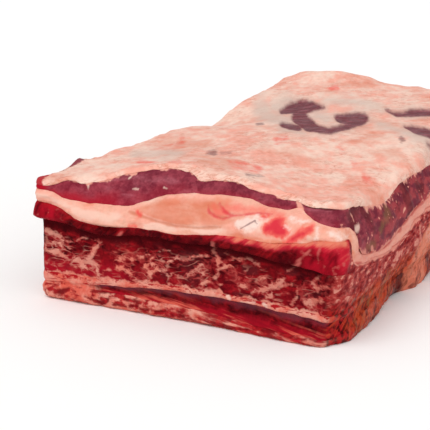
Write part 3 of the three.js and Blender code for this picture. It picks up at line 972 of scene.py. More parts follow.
def marbling(name):
    """Fat in lean: winding lines between lobes of lean, swollen where strokes are placed, and flat flecks.

    The lines are the middle levels of two noises. Their width follows a third, so that they thicken in
    places and break in others. Thin level threads are the middle of a flatter noise. The veil is thin fat,
    and the core is where it is thick.
    """
    g, given, out = new_group(
        name,
        {"Vector": "Vector", "Placed": "Float", "Amount": "Float"},
        {"Veil": "Float", "Core": "Float"},
    )
    place, amount = given["Vector"], given["Amount"]
    lying = g.stretch(place, (1.0, 1.0, 1.6), (0.0, 0.14, 0.0))
    wide = g.math("ABSOLUTE", g.wander(lying, 100.0, 4.6, 2.0))
    narrow = g.math("ABSOLUTE", g.wander(g.vector("ADD", lying, (0.3, 0.2, 0.1)), 180.0, 4.6, 2.0))
    border = g.math("MINIMUM", wide, narrow)
    placed = g.math("ADD", given["Placed"], g.wander(lying, 210.0, 4.0))
    placed = g.math("ADD", placed, g.wander(lying, 520.0, 3.0))
    near = g.ramp(placed, -1.4, 1.2)
    swell = g.ramp(g.noise(place, 95.0, 3.0), 0.42, 0.62, -0.26, 0.14)
    width = g.math("MULTIPLY", g.math("ADD", swell, 0.2), amount)
    width = g.math("ADD", g.math("SUBTRACT", width, 0.2), g.math("MULTIPLY", near, 0.42))
    line = g.math("ADD", g.math("SUBTRACT", width, border), g.wander(place, 480.0, 0.16))
    fleck = g.noise(g.stretch(lying, (0.9, 1.0, 1.4)), 220.0, 2.0)
    fleck = g.math("ADD", fleck, g.wander(place, 90.0, 0.4))
    lying_fat = g.math("MULTIPLY", g.ramp(fleck, 0.56, 0.74), g.math("MULTIPLY", amount, 0.9))
    veil = g.math("MAXIMUM", g.ramp(line, -0.26, 0.08), lying_fat)
    core = g.math("MAXIMUM", g.ramp(line, 0.02, 0.36), g.math("MULTIPLY", g.ramp(fleck, 0.7, 0.84), amount))
    core = g.math("MAXIMUM", core, g.ramp(placed, -0.2, 1.5, 0.0, 0.9))
    flat = g.vector("ADD", g.stretch(lying, (0.8, 1.0, 1.5)), (0.7, 0.4, 0.6))
    flat = g.math("ABSOLUTE", g.wander(flat, 120.0, 4.6, 1.0))
    broken = g.math("MULTIPLY", g.ramp(g.noise(place, 90.0, 2.0), 0.45, 0.6, 0.0, 0.62), amount)
    core = g.math("MAXIMUM", core, g.math("MULTIPLY", g.ramp(flat, 0.2, 0.03), broken))
    g.send(out, Veil=veil, Core=core)
    return g.tree


def dry_skin(name):
    """Dry rib end: brown, tan, olive and dark streaks that rise steeply towards the back, over a colour.

    Close to the front cut it is still red flesh, and behind each space between ribs fat covers it.
    """
    tones = dict.fromkeys(("Color", "Brown", "Tan", "Olive", "Flesh", "Dark", "Fat"), "Color")
    inputs = {"Vector": "Vector", "Amount": "Float", "Cover": "Float", **tones}
    g, given, out = new_group(name, inputs, {"Color": "Color"})
    slope = g.stretch(given["Vector"], (1.0, 1.0, 1.0), (-0.85, 0.0, 0.0))
    wide = g.noise(g.stretch(slope, (90.0, 70.0, 230.0)), 1.0, 4.0, 0.6, 0.5)
    fine = g.noise(g.stretch(slope, (150.0, 120.0, 560.0)), 1.0, 3.0, 0.6, 0.5)
    patch = g.noise(given["Vector"], 90.0, 3.0)
    spot = g.noise(given["Vector"], 420.0, 2.0)
    level = g.math("ADD", g.math("MULTIPLY", wide, 0.5), g.math("MULTIPLY", fine, 0.3))
    level = g.math("ADD", level, g.math("MULTIPLY", spot, 0.2))
    skin = g.mix(g.ramp(level, 0.44, 0.57), given["Brown"], given["Tan"])
    moved = g.vector("ADD", slope, (0.2, 0.1, 0.3))
    dry = g.noise(g.stretch(moved, (60.0, 40.0, 170.0)), 1.0, 3.0, 0.6, 0.5)
    skin = g.mix(g.ramp(dry, 0.5, 0.64, 0.0, 0.6), skin, given["Olive"])
    dark = g.math("ADD", level, g.math("MULTIPLY", patch, 0.5))
    skin = g.mix(g.ramp(dark, 0.74, 0.6), skin, given["Dark"])
    back = g.math("ADD", g.axis(given["Vector"], "Y"), g.wander(given["Vector"], 90.0, 0.04))
    cover = g.math("ADD", given["Cover"], g.wander(slope, 150.0, 1.0))
    cover = g.math("MULTIPLY", g.ramp(cover, 0.3, 0.9, 0.0, 0.8), g.ramp(level, 0.42, 0.53, 0.25, 1.0))
    skin = g.mix(cover, skin, given["Fat"])
    flesh = g.mix(g.ramp(g.math("ADD", fine, spot), 0.85, 1.1), given["Dark"], given["Flesh"])
    flesh = g.mix(g.ramp(fine, 0.54, 0.66, 0.0, 0.7), flesh, given["Tan"])
    skin = g.mix(g.ramp(back, -0.136, -0.122, 0.9, 0.0), skin, flesh)
    reach = g.math("MULTIPLY", g.ramp(patch, 0.35, 0.6, 0.85, 1.0), given["Amount"])
    g.send(out, Color=g.mix(reach, given["Color"], skin))
    return g.tree


def speckled_wall(name):
    """Lean mottled by a noise that is long towards the back, with fat where the noise is highest."""
    g, given, out = new_group(
        name,
        {"Vector": "Vector", "Deep": "Color", "Lean": "Color", "Fat": "Color"},
        {"Color": "Color", "Speck": "Float"},
    )
    speck = g.noise(g.stretch(given["Vector"], (1.0, 0.5, 0.9)), 330.0, 3.0, 0.6)
    lean = g.mix(g.ramp(speck, 0.38, 0.56), given["Deep"], given["Lean"])
    g.send(out, Color=g.mix(g.ramp(speck, 0.55, 0.64), lean, given["Fat"]), Speck=speck)
    return g.tree


def moist_film(name):
    """Moist film: roughness between wet and dry by a soft noise with fine breaks."""
    inputs = {"Vector": "Vector", "Wet": "Float", "Dry": "Float"}
    g, given, out = new_group(name, inputs, {"Roughness": "Float"})
    pool = g.noise(given["Vector"], 160.0, 4.0, 0.6)
    g.send(out, Roughness=g.ramp(pool, 0.38, 0.62, given["Wet"], given["Dry"]))
    return g.tree


def lean_of(g, place, tint, grain, tones):
    """Lean in three tones: deep, middle and bright. Its grain is how fast it changes along each axis."""
    deep, middle, bright = (tint[name] for name in tones)
    inputs = {"Vector": place, "Grain": grain, "Deep": deep, "Middle": middle, "Bright": bright}
    return g.group(lean_fibres, inputs)


def fat_of(g, place, tint, fibre, tones, threads, stain=0.0):
    """Fat in three tones: pale, warm and its threads. Its fibre is how fast it changes along each axis."""
    pale, warm, thread = (tint[name] for name in tones)
    inputs = {
        "Vector": place,
        "Fibre": fibre,
        "Pale": pale,
        "Warm": warm,
        "Thread": thread,
        "Threads": threads,
        "Blood": tint["fat_flush"],
        "Stain": stain,
    }
    return g.group(fat_tissue, inputs)


def ragged(g, place, field, wander, softness, strength):
    """The ragged mask of a field's marks."""
    inputs = {
        "Vector": place,
        "Inside": g.field(field),
        "Wander": wander,
        "Softness": softness,
        "Strength": strength,
    }
    return g.group(ragged_edge, inputs)["Mask"]


def wall_of(g, place, tint):
    """The right wall's speckled lean."""
    inputs = {"Vector": place, "Deep": tint["lean_mid"], "Lean": tint["lean_wall"], "Fat": tint["fat_wall"]}
    return g.group(speckled_wall, inputs)


def rib_end(g, place, tint, under, amount):
    """A layer's colour with the dry rib end laid over it on the right wall."""
    inputs = {
        "Vector": place,
        "Color": under,
        "Amount": g.math("MULTIPLY", g.field("right"), amount),
        "Cover": g.field("cover"),
        "Brown": tint["skin_brown"],
        "Tan": tint["skin_tan"],
        "Olive": tint["skin_olive"],
        "Flesh": tint["lean_bright"],
        "Dark": tint["lean_deep"],
        "Fat": tint["fat_peach"],
    }
    return g.group(dry_skin, inputs)["Color"]


def paint_base_fat(g, place, tint):
    """Pink fat in small lumps with crimson lean in their gaps, and red lean in pale strands at the right.

    The right wall is dry rib end, dark in the first space between ribs.
    """
    along = g.axis(place, "X")
    fat = fat_of(g, place, tint, (120.0, 120.0, 420.0), ("fat_vein", "fat_coral", "lean_bright"), 0.7)
    lean = lean_of(g, place, tint, (90.0, 90.0, 500.0), ("lean_mid", "lean_bright", "lean_crimson"))
    slope = g.stretch(place, (1.0, 1.0, 1.0), (0.0, -0.14, 0.0))
    strand = g.wander(g.stretch(slope, (0.3, 0.3, 2.0)), 260.0, 1.6)
    lump = g.wander(g.stretch(place, (0.8, 1.0, 1.3)), 250.0, 2.0)
    lump = g.math("ADD", lump, g.math("MULTIPLY", g.field("clump"), 0.2))
    drift = g.ramp(along, -0.03, 0.04)
    gap = g.math("ADD", lump, g.math("MULTIPLY", drift, g.math("SUBTRACT", strand, lump)))
    gap = g.math("ADD", gap, g.ramp(along, -0.06, 0.03, 0.05, -0.14))
    blend = g.mix(g.ramp(gap, 0.1, -0.22, 0.0, 0.97), fat["Color"], lean["Color"])
    placed = ragged(g, place, "gaps", 1.6, 0.7, 0.95)
    deep_gap = g.mix(g.ramp(g.noise(place, 230.0, 2.0), 0.42, 0.6), tint["lean_mid"], lean["Color"])
    blend = g.mix(placed, blend, deep_gap)
    foot = g.ramp(g.math("ADD", g.field("share"), g.wander(place, 200.0, 0.3)), 0.02, 0.16, 0.7, 0.0)
    blend = g.mix(foot, blend, tint["fat_coral"])
    colour_here = rib_end(g, place, tint, blend, 0.95)
    colour_here = g.mix(g.ramp(g.field("notch"), 0.2, 0.9, 0.0, 0.8), colour_here, tint["lean_deep"])
    return colour_here, fat["Height"], 0.5, (0.3, 0.5)


def paint_rib_meat(g, place, tint):
    """Dark lean, purple at its upper edge, with red and coral streaks that slant down into the base.

    At the left end fat covers it.
    """
    slope = g.stretch(place, (1.0, 1.0, 1.0), (0.0, -0.16, 0.0))
    lean = lean_of(g, slope, tint, (70.0, 70.0, 620.0), ("lean_deep", "lean_mid", "lean_bright"))
    share = g.math("ADD", g.field("share"), g.wander(place, 160.0, 0.8))
    colour_here = g.mix(g.ramp(share, 0.55, 0.95, 0.0, 0.65), lean["Color"], tint["lean_bare"])
    colour_here = g.mix(g.ramp(share, 0.1, 0.5, 0.6, 0.0), colour_here, tint["lean_crimson"])
    streak = g.noise(g.stretch(slope, (45.0, 45.0, 620.0)), 1.0, 3.0)
    low = g.ramp(share, 0.0, 0.6, 1.0, 0.1)
    colour_here = g.mix(g.math("MULTIPLY", g.ramp(streak, 0.5, 0.66), low), colour_here, tint["fat_coral"])
    fat = fat_of(g, place, tint, (90.0, 90.0, 360.0), ("fat_vein", "fat_coral", "lean_bright"), 0.8)
    end = g.math("ADD", g.axis(place, "X"), g.wander(place, 120.0, 0.04))
    colour_here = g.mix(g.ramp(end, -0.04, -0.055), colour_here, fat["Color"])
    return rib_end(g, place, tint, colour_here, 0.95), lean["Height"], 0.4, (0.25, 0.42)


def paint_lower_seam(g, place, tint):
    """Pink fat in pale and red patches, with a few pale beads that are also painted glints. On the right
    wall it is a dry rib end.
    """
    fat = fat_of(g, place, tint, (90.0, 90.0, 360.0), ("fat_vein", "fat_coral", "lean_bright"), 0.8)
    blot = g.noise(g.stretch(place, (1.0, 1.0, 1.8)), 190.0, 3.0, 0.6)
    rise = g.ramp(g.field("share"), 0.4, 1.0, -0.04, 0.06)
    colour_here = g.mix(g.ramp(g.math("ADD", blot, rise), 0.54, 0.64), fat["Color"], tint["lean_bright"])
    # Pale beads of fat that also serve as painted glints.
    bead = ragged(g, place, "beads", 1.4, 0.6, 0.7)
    colour_here = g.mix(bead, colour_here, tint["fat_pale"])
    return rib_end(g, place, tint, colour_here, 0.95), fat["Height"], 0.4, (0.3, 0.5)


def paint_marbled_meat(g, place, tint):
    """Dark lean webbed with soft fat: darkest in a painted shadow under the flap, redder low down and to the
    left.

    Teeth of the fat below rise into its foot. The right wall is speckled, with fat behind the rib spaces.
    """
    along = g.axis(place, "X")
    share = g.math("ADD", g.field("share"), g.wander(place, 90.0, 0.4))
    lean = lean_of(g, place, tint, (130.0, 130.0, 330.0), ("lean_deep", "lean_mid", "lean_bright"))
    low = g.ramp(share, 0.1, 0.5, 0.7, 0.0)
    left = g.math("MULTIPLY", low, g.ramp(along, -0.01, -0.045, 0.2, 1.0))
    left = g.math("MULTIPLY", left, g.ramp(g.field("front"), 0.0, 1.0, 0.3, 1.0))
    colour_here = g.mix(left, lean["Color"], tint["lean_crimson"])
    dim = g.noise(g.stretch(place, (1.0, 1.0, 1.8)), 80.0, 3.0)
    right_end = g.ramp(along, -0.06, 0.03, 0.35, 0.7)
    dim = g.math("MULTIPLY", g.ramp(dim, 0.5, 0.62), right_end)
    colour_here = g.mix(dim, colour_here, tint["lean_dull"])
    wall = wall_of(g, place, tint)
    colour_here = g.mix(g.math("MULTIPLY", g.field("right"), 0.9), colour_here, wall["Color"])
    # Fewer veins at the top of the front cut, where the painted shadow of the flap falls.
    amount = g.math("MULTIPLY", g.ramp(share, 0.55, 0.85, 1.0, 0.0), g.ramp(share, 0.0, 0.3, 1.2, 1.0))
    amount = g.math("MULTIPLY", amount, g.ramp(g.field("right"), 0.0, 1.0, 1.0, 0.4))
    veins = g.group(marbling, {"Vector": place, "Placed": g.field("marks"), "Amount": amount})
    fat = fat_of(g, place, tint, (200.0, 200.0, 400.0), ("fat_vein", "fat_salmon", "lean_bright"), 0.4)
    tooth = g.math("ADD", g.field("share"), g.wander(g.stretch(place, (1.0, 1.0, 0.4)), 190.0, 0.3))
    tooth = g.math("MULTIPLY", g.ramp(tooth, 0.02, 0.07, 0.9, 0.0), g.field("front"))
    colour_here = g.mix(g.math("MULTIPLY", veins["Veil"], 0.65), colour_here, tint["lean_halo"])
    thick = g.ramp(along, 0.0, 0.06, 0.82, 0.7)
    core = g.math("MAXIMUM", g.math("MULTIPLY", veins["Core"], thick), tooth)
    colour_here = g.mix(core, colour_here, fat["Color"])
    # Painted shadow: the top of the front cut, under the flap, is darkened towards deep lean.
    shade = g.math("MULTIPLY", g.ramp(g.field("share"), 0.74, 0.93, 0.0, 0.8), g.field("front"))
    colour_here = g.mix(shade, colour_here, tint["lean_deep"])
    covered = g.math("ADD", g.field("cover"), g.wander(g.stretch(place, (1.0, 1.0, 0.5)), 150.0, 1.0))
    covered = g.math("MULTIPLY", g.ramp(covered, 0.3, 0.9, 0.0, 0.85), g.field("right"))
    cover = g.mix(g.ramp(wall["Speck"], 0.42, 0.58), tint["fat_peach"], tint["fat_vein"])
    colour_here = g.mix(covered, colour_here, cover)
    near_base = g.ramp(share, 0.0, 0.5, 0.9, 0.0)
    height = g.math("ADD", lean["Height"], g.math("MULTIPLY", veins["Core"], 0.5))
    return rib_end(g, place, tint, colour_here, near_base), height, 0.4, (0.25, 0.45)


def paint_flap_meat(g, place, tint):
    """Dark red lean with slanting fibres, bright at both ends, blending into fat along its rim on the right.

    Painted shade darkens its foot, and painted glints sit on its fresh ends.
    On the right wall it thins to the seam's pale stripe over speckled lean.
    """
    slope = g.stretch(place, (1.0, 1.0, 1.0), (0.0, 0.7, 0.0))
    lean = lean_of(g, slope, tint, (70.0, 70.0, 330.0), ("lean_deep", "lean_mid", "lean_bright"))
    fresh = g.math("MULTIPLY", g.field("fresh"), g.ramp(g.noise(slope, 150.0, 3.0), 0.36, 0.6, 0.45, 1.0))
    colour_here = g.mix(g.math("MULTIPLY", fresh, 0.9), lean["Color"], tint["lean_crimson"])
    edge = g.math("ADD", g.field("share"), g.wander(place, 150.0, 0.5))
    colour_here = g.mix(g.ramp(edge, 0.7, 1.0, 0.0, 0.6), colour_here, tint["lean_bright"])
    # Painted shade: the foot of the flap is darkened towards deep lean, less on its fresh ends.
    shade_strength = g.ramp(g.field("fresh"), 0.0, 1.0, 1.0, 0.3)
    under = g.math("MULTIPLY", g.ramp(edge, 0.05, 0.5, 0.6, 0.0), shade_strength)
    colour_here = g.mix(under, colour_here, tint["lean_deep"])
    fibre = g.wander(g.stretch(slope, (90.0, 90.0, 460.0)), 1.0, 0.9)
    rim = g.math("ADD", g.math("ADD", g.field("rim"), fibre), g.wander(place, 150.0, 0.5))
    colour_here = g.mix(g.ramp(rim, 0.35, 0.85, 0.0, 0.7), colour_here, tint["blood"])
    colour_here = g.mix(g.ramp(rim, 0.7, 1.1, 0.0, 0.85), colour_here, tint["fat_peach"])
    steep = g.stretch(place, (1.0, 1.0, 1.0), (0.0, 1.2, 0.0))
    bundle = g.noise(g.stretch(steep, (60.0, 60.0, 260.0)), 1.0, 3.0)
    off_rim = g.ramp(g.field("rim"), 0.3, 0.8, 1.0, 0.1)
    bundle = g.math("MULTIPLY", g.ramp(bundle, 0.5, 0.68, 0.0, 0.65), off_rim)
    colour_here = g.mix(bundle, colour_here, tint["lean_deep"])
    # Painted glints: rose spots on the fresh ends stand in for wet highlights.
    painted_glint = g.math("MULTIPLY", g.ramp(g.noise(place, 260.0, 3.0), 0.58, 0.72, 0.0, 0.5), g.field("fresh"))
    colour_here = g.mix(painted_glint, colour_here, tint["fat_rose"])
    mark = ragged(g, place, "marks", 2.0, 0.8, 0.7)
    colour_here = g.mix(mark, colour_here, tint["fat_rose"])
    wall = wall_of(g, place, tint)
    below = g.math("ADD", g.field("below"), g.wander(place, 160.0, 3.0))
    wall = g.mix(g.ramp(below, 0.2, 1.4), tint["fat_wall"], wall["Color"])
    colour_here = g.mix(g.field("wall"), colour_here, wall)
    return colour_here, lean["Height"], 0.4, (0.2, 0.4)


def paint_seam_fat(g, place, tint):
    """Cream fat, painted pale on its swells and orange in its hollows as light and shade, with red stains
    and torn white tissue.

    On the right wall it is a pale stripe.
    """
    stain = g.math("ADD", g.field("blood"), g.wander(place, 170.0, 3.0))
    stain = g.math("ADD", stain, g.wander(g.stretch(place, (1.0, 1.0, 0.6), (0.0, 0.6, 0.0)), 420.0, 3.0))
    fat = fat_of(g, place, tint, (70.0, 70.0, 200.0), ("fat_cream", "fat_warm", "fat_line"), 0.2)
    ripple = g.math("ADD", g.field("orange"), g.wander(g.stretch(place, (0.6, 1.0, 1.0)), 110.0, 2.4))
    colour_here = g.mix(g.ramp(ripple, 0.1, 1.5, 0.0, 0.85), fat["Color"], tint["fat_orange"])
    fringe = g.stretch(place, (1.0, 1.0, 0.4), (0.0, 0.7, 0.0))
    hem = g.math("ADD", g.field("hem"), g.wander(fringe, 260.0, 1.0))
    colour_here = g.mix(g.ramp(hem, 0.2, 1.0, 0.0, 0.9), colour_here, tint["fat_peach"])
    # The hollow field: painted shade in the relief's hollows, and painted highlights where it is negative,
    # on swells, a crest and a band.
    hollow = g.math("MULTIPLY", g.field("hollow"), 0.4)
    hollow = g.math("ADD", hollow, g.wander(g.stretch(place, (0.7, 1.0, 1.3)), 120.0, 3.2))
    colour_here = g.mix(g.ramp(hollow, 0.1, 0.7, 0.0, 0.75), colour_here, tint["fat_peach"])
    off_orange = g.ramp(g.field("orange"), 0.0, 0.8, 1.0, 0.15)
    swell_highlight = g.math("MULTIPLY", g.ramp(hollow, -0.1, -0.8, 0.0, 0.6), off_orange)
    colour_here = g.mix(swell_highlight, colour_here, tint["fat_pale"])
    flush = g.math("ADD", g.field("flush"), g.wander(place, 200.0, 4.0))
    colour_here = g.mix(g.ramp(flush, -1.8, 1.4, 0.0, 0.6), colour_here, tint["fat_flush"])
    crease = g.math("ADD", g.field("crease"), g.wander(place, 200.0, 1.4))
    colour_here = g.mix(g.ramp(crease, -0.9, 0.3, 0.0, 0.7), colour_here, tint["fat_line"])
    fold = g.math("ADD", g.field("folds"), g.wander(place, 240.0, 1.6))
    colour_here = g.mix(g.ramp(fold, -0.8, 0.5, 0.0, 0.75), colour_here, tint["blood"])
    colour_here = g.mix(g.ramp(stain, -1.6, 0.6, 0.0, 0.9), colour_here, tint["fat_flush"])
    colour_here = g.mix(g.ramp(stain, -0.6, 2.4, 0.0, 0.95), colour_here, tint["blood"])
    white = ragged(g, place, "white", 3.5, 1.1, 0.75)
    colour_here = g.mix(white, colour_here, tint["fat_white"])
    tear = ragged(g, place, "tear", 0.6, 0.3, 0.6)
    colour_here = g.mix(tear, colour_here, tint["lean_bare"])
    grain = g.noise(g.stretch(place, (90.0, 60.0, 420.0)), 1.0, 3.0)
    stripe = g.mix(g.ramp(grain, 0.38, 0.62), tint["fat_wall"], tint["fat_vein"])
    inside = g.math("MINIMUM", g.field("share"), g.math("SUBTRACT", 1.0, g.field("share")))
    inside = g.math("ADD", inside, g.wander(g.stretch(place, (1.0, 0.5, 1.0)), 260.0, 0.5))
    stripe = g.mix(g.ramp(inside, 0.02, 0.24, 0.75, 0.0), stripe, tint["lean_wall"])
    colour_here = g.mix(g.field("stripe"), colour_here, stripe)
    return colour_here, fat["Height"], 0.5, (0.3, 0.5)


def paint_cap_meat(g, place, tint):
    """Purple lean, crimson at its left tip and lower edge, with teeth of fat from above and specks of fat.

    Some specks on the front are painted glints. Painted shade darkens its top under the fat cap, with a
    painted shadow line at the right of the front. On the right wall it is mottled, with dry olive patches, a
    bead of fat and a hem of fat along its foot.
    """
    lean = lean_of(g, place, tint, (60.0, 60.0, 190.0), ("lean_plum", "lean_purple", "lean_sheen"))
    low = g.math("ADD", g.field("share"), g.wander(place, 110.0, 0.7))
    red = g.ramp(g.math("ADD", g.field("red"), g.wander(place, 90.0, 0.8)), 0.0, 1.0, 0.3, 0.78)
    crimson = g.math("MULTIPLY", g.ramp(low, 0.05, 0.6, 1.0, 0.25), red)
    colour_here = g.mix(g.math("MAXIMUM", crimson, g.field("tip")), lean["Color"], tint["lean_crimson"])
    # Painted shade: the top of the band, under the fat cap, is darkened towards plum lean.
    colour_here = g.mix(g.ramp(low, 0.8, 1.05, 0.0, 0.5), colour_here, tint["lean_plum"])
    grain = g.noise(g.stretch(place, (1.0, 0.45, 0.9)), 230.0, 4.0, 0.6)
    patch = g.noise(place, 90.0, 3.0)
    purple = g.ramp(g.axis(place, "Y"), -0.13, -0.08, 0.85, 0.5)
    mottled = g.mix(purple, tint["lean_wall"], tint["lean_purple"])
    mottled = g.mix(g.ramp(grain, 0.4, 0.6), tint["lean_plum"], mottled)
    mottled = g.mix(g.ramp(patch, 0.5, 0.62, 0.0, 0.6), mottled, tint["lean_dull"])
    colour_here = g.mix(g.math("MULTIPLY", g.field("right"), 0.9), colour_here, mottled)
    olive = ragged(g, place, "olive", 5.0, 2.0, 0.5)
    colour_here = g.mix(olive, colour_here, tint["skin_olive"])
    # Specks of fat, and on the front small pale specks that are painted glints.
    specks = ragged(g, place, "marks", 1.4, 0.5, 0.85)
    speck_fat_and_glint = g.mix(g.ramp(g.axis(place, "X"), 0.03, 0.05), tint["fat_pale"], tint["fat_warm"])
    colour_here = g.mix(specks, colour_here, speck_fat_and_glint)
    tooth = g.math("ADD", g.field("share"), g.wander(g.stretch(place, (1.0, 1.0, 0.4)), 230.0, 0.6))
    outer = g.math("MAXIMUM", g.field("front"), g.field("right"))
    tooth = g.math("MULTIPLY", g.ramp(tooth, 0.92, 1.03, 0.0, 0.85), outer)
    tooth = g.math("MULTIPLY", tooth, g.math("SUBTRACT", 1.0, g.field("tip")))
    colour_here = g.mix(tooth, colour_here, tint["fat_warm"])
    bead = ragged(g, place, "bead", 1.2, 0.9, 0.7)
    colour_here = g.mix(bead, colour_here, tint["fat_pale"])
    hem = g.math("ADD", g.field("share"), g.wander(g.stretch(place, (1.0, 0.6, 0.6)), 240.0, 0.5))
    hem = g.math("MULTIPLY", g.ramp(hem, 0.02, 0.1, 0.8, 0.0), g.field("right"))
    colour_here = g.mix(hem, colour_here, tint["fat_wall"])
    # Painted shadow: a dark line under the fat cap's edge at the right of the front.
    shade = g.math("ADD", g.field("shade"), g.wander(place, 180.0, 0.8))
    colour_here = g.mix(g.ramp(shade, 0.4, 0.9, 0.0, 0.85), colour_here, tint["lean_deep"])
    fleck = g.ramp(g.noise(place, 360.0, 2.0), 0.64, 0.74)
    colour_here = g.mix(g.math("MULTIPLY", fleck, g.field("right")), colour_here, tint["fat_wall"])
    return colour_here, lean["Height"], 0.3, (0.3, 0.5)


def paint_fat_cap(g, place, tint):
    """Pale pink fat with fine threads, grey streaks, blood stains and the bare patches of lean.

    The lean below shows at its left front tip.
    """
    turned = g.stretch(place, (1.0, 1.0, 1.0), (0.0, 0.0, -0.485))
    flat = g.stretch(turned, (0.75, 0.55, 1.0))
    stain = g.math("ADD", g.field("blood"), g.wander(turned, 110.0, 5.0))
    stain = g.ramp(stain, -2.0, 2.0, 0.0, 0.8)
    fat = fat_of(g, flat, tint, (140.0, 620.0, 300.0), ("fat_pale", "fat_warm", "fat_line"), 0.55, stain)
    rosy = g.noise(flat, 34.0, 4.0, 0.6)
    colour_here = g.mix(g.ramp(rosy, 0.48, 0.66, 0.0, 0.5), fat["Color"], tint["fat_orange"])
    grey_edge = g.math("ADD", g.field("grey"), g.wander(turned, 60.0, 7.0))
    colour_here = g.mix(g.ramp(grey_edge, -3.5, 3.5, 0.0, 0.75), colour_here, tint["fat_grey"])
    thin = g.math("ADD", g.field("bare"), g.wander(flat, 140.0, 3.0))
    colour_here = g.mix(g.ramp(thin, -3.5, 0.5, 0.0, 0.5), colour_here, tint["fat_dusk"])
    spot = ragged(g, place, "dark", 2.6, 0.9, 0.6)
    colour_here = g.mix(spot, colour_here, tint["lean_bare"])
    lean = lean_of(g, turned, tint, (110.0, 330.0, 90.0), ("lean_plum", "lean_bare", "lean_sheen"))
    level = g.stretch(turned, (1.0, 0.25, 1.0))
    bare = ragged(g, level, "bare", 1.4, 1.1, 0.95)
    colour_here = g.mix(bare, colour_here, lean["Color"])
    tip = ragged(g, place, "tip", 3.0, 0.7, 0.95)
    tip_lean = g.mix(g.ramp(g.axis(place, "Y"), -0.14, -0.125), tint["lean_crimson"], tint["lean_purple"])
    colour_here = g.mix(tip, colour_here, tip_lean)
    return colour_here, fat["Height"], 0.5, (0.38, 0.58)


def meat_material(name, paint, tint, shine):
    """A material whose paint function gives its colour, bump height, bump depth in mm and film.

    The film is two roughness values, wet and dry.
    """
    material = bpy.data.materials.new(name)
    material.use_nodes = True
    material.node_tree.nodes.clear()
    g = Graph(material.node_tree)
    place = g.add("ShaderNodeTexCoord").outputs["Object"]
    base, height, depth, (wet, dry) = paint(g, place, tint)
    roughness = g.group(moist_film, {"Vector": place, "Wet": wet, "Dry": dry})["Roughness"]
    bump = g.add("ShaderNodeBump", {"Height": height, "Distance": depth * MM, "Strength": 1.0}).outputs[0]
    inputs = {
        "Base Color": base,
        "Roughness": roughness,
        "Normal": bump,
        "IOR": 1.4,
        "Specular IOR Level": shine,
    }
    shader = g.add("ShaderNodeBsdfPrincipled", inputs)
    g.add("ShaderNodeOutputMaterial", {"Surface": shader.outputs[0]})
    return material


class LayerOperator:
    """What the layer operators share: the slab and the colours of the open scene."""

    bl_options = {"REGISTER", "UNDO"}

    def slab(self, context):
        """The slab at the scene's sizes."""
        return Slab(context.scene.short_ribs_sizes)

    def tint(self, context):
        """The scene's colours by name."""
        colours = context.scene.short_ribs_colours
        return {name: tuple(getattr(colours, name)) for name in colours.__annotations__}


class SHORTRIBS_OT_lower_layers(LayerOperator, bpy.types.Operator):
    """Build the base fat, the lean between the ribs and the seam of fat above it"""

    bl_idname = "short_ribs.lower_layers"
    bl_label = "Lower Layers"

    def execute(self, context):
        slab, tint = self.slab(context), self.tint(context)

        skin = layer_skin(slab, "underside", "base_top", rows=20, bulge=0.8, ends=(2.0, 0.3))
        clump = lumps(skin.x, skin.y, 2.2 * skin.z, 6, 11, 3)
        gaps = skin.front_marks(BASE_GAPS)
        skin.push(0.6 * clump - 0.5 * smooth(-0.8, 0.6, gaps))
        notch = hill(slab.line.back, slab.sizes.first_notch / MM, NOTCH_SHADE) * slab.line.faces()[1]
        fields = skin.fields(notch=notch, clump=clump, gaps=gaps, cover=slab.rib_fat(skin))
        base = skin_object("rib_base_fat", skin, fields)
        settle(base, "rib_base_fat", meat_material("Base fat", paint_base_fat, tint, FAT_SHINE))

        skin = layer_skin(slab, "base_top", "rib_meat_top", rows=18, bulge=-0.4, ends=(0.25, 0.25))
        skin.push(0.2 * skin.noise(3, 21))
        rib = skin_object("rib_meat", skin, skin.fields(cover=slab.rib_fat(skin)))
        settle(rib, "rib_meat", meat_material("Rib lean", paint_rib_meat, tint, LEAN_SHINE))

        skin = layer_skin(slab, "rib_meat_top", "lower_seam_top", rows=12, bulge=0.4, ends=(0.25, 0.25))
        skin.push(0.25 * skin.noise(5, 31))
        fields = skin.fields(beads=skin.front_marks(SEAM_BEADS_AND_GLINTS), cover=slab.rib_fat(skin))
        seam = skin_object("lower_seam_fat", skin, fields)
        settle(seam, "lower_seam_fat", meat_material("Lower seam fat", paint_lower_seam, tint, FAT_SHINE))
        return {"FINISHED"}


class SHORTRIBS_OT_marbled_meat(LayerOperator, bpy.types.Operator):
    """Build the main band of marbled lean"""

    bl_idname = "short_ribs.marbled_meat"
    bl_label = "Marbled Lean"

    def execute(self, context):
        slab, tint = self.slab(context), self.tint(context)
        skin = layer_skin(slab, "lower_seam_top", "marbled_top", rows=46, bulge=0.5, ends=(0.2, 0.6))
        marks = np.maximum(skin.front_marks(FRONT_VEINS), skin.right_marks(RIGHT_FAT))
        relief = (0.3 * skin.noise(9, 41) + 0.15 * skin.noise(3, 42)) * (1 + 1.2 * slab.line.faces()[1])
        skin.push(relief + 0.2 * smooth(-0.5, 0.8, marks))
        piece = skin_object("marbled_meat", skin, skin.fields(marks=marks, cover=slab.rib_fat(skin)))
        settle(piece, "marbled_meat", meat_material("Marbled lean", paint_marbled_meat, tint, LEAN_SHINE))
        return {"FINISHED"}


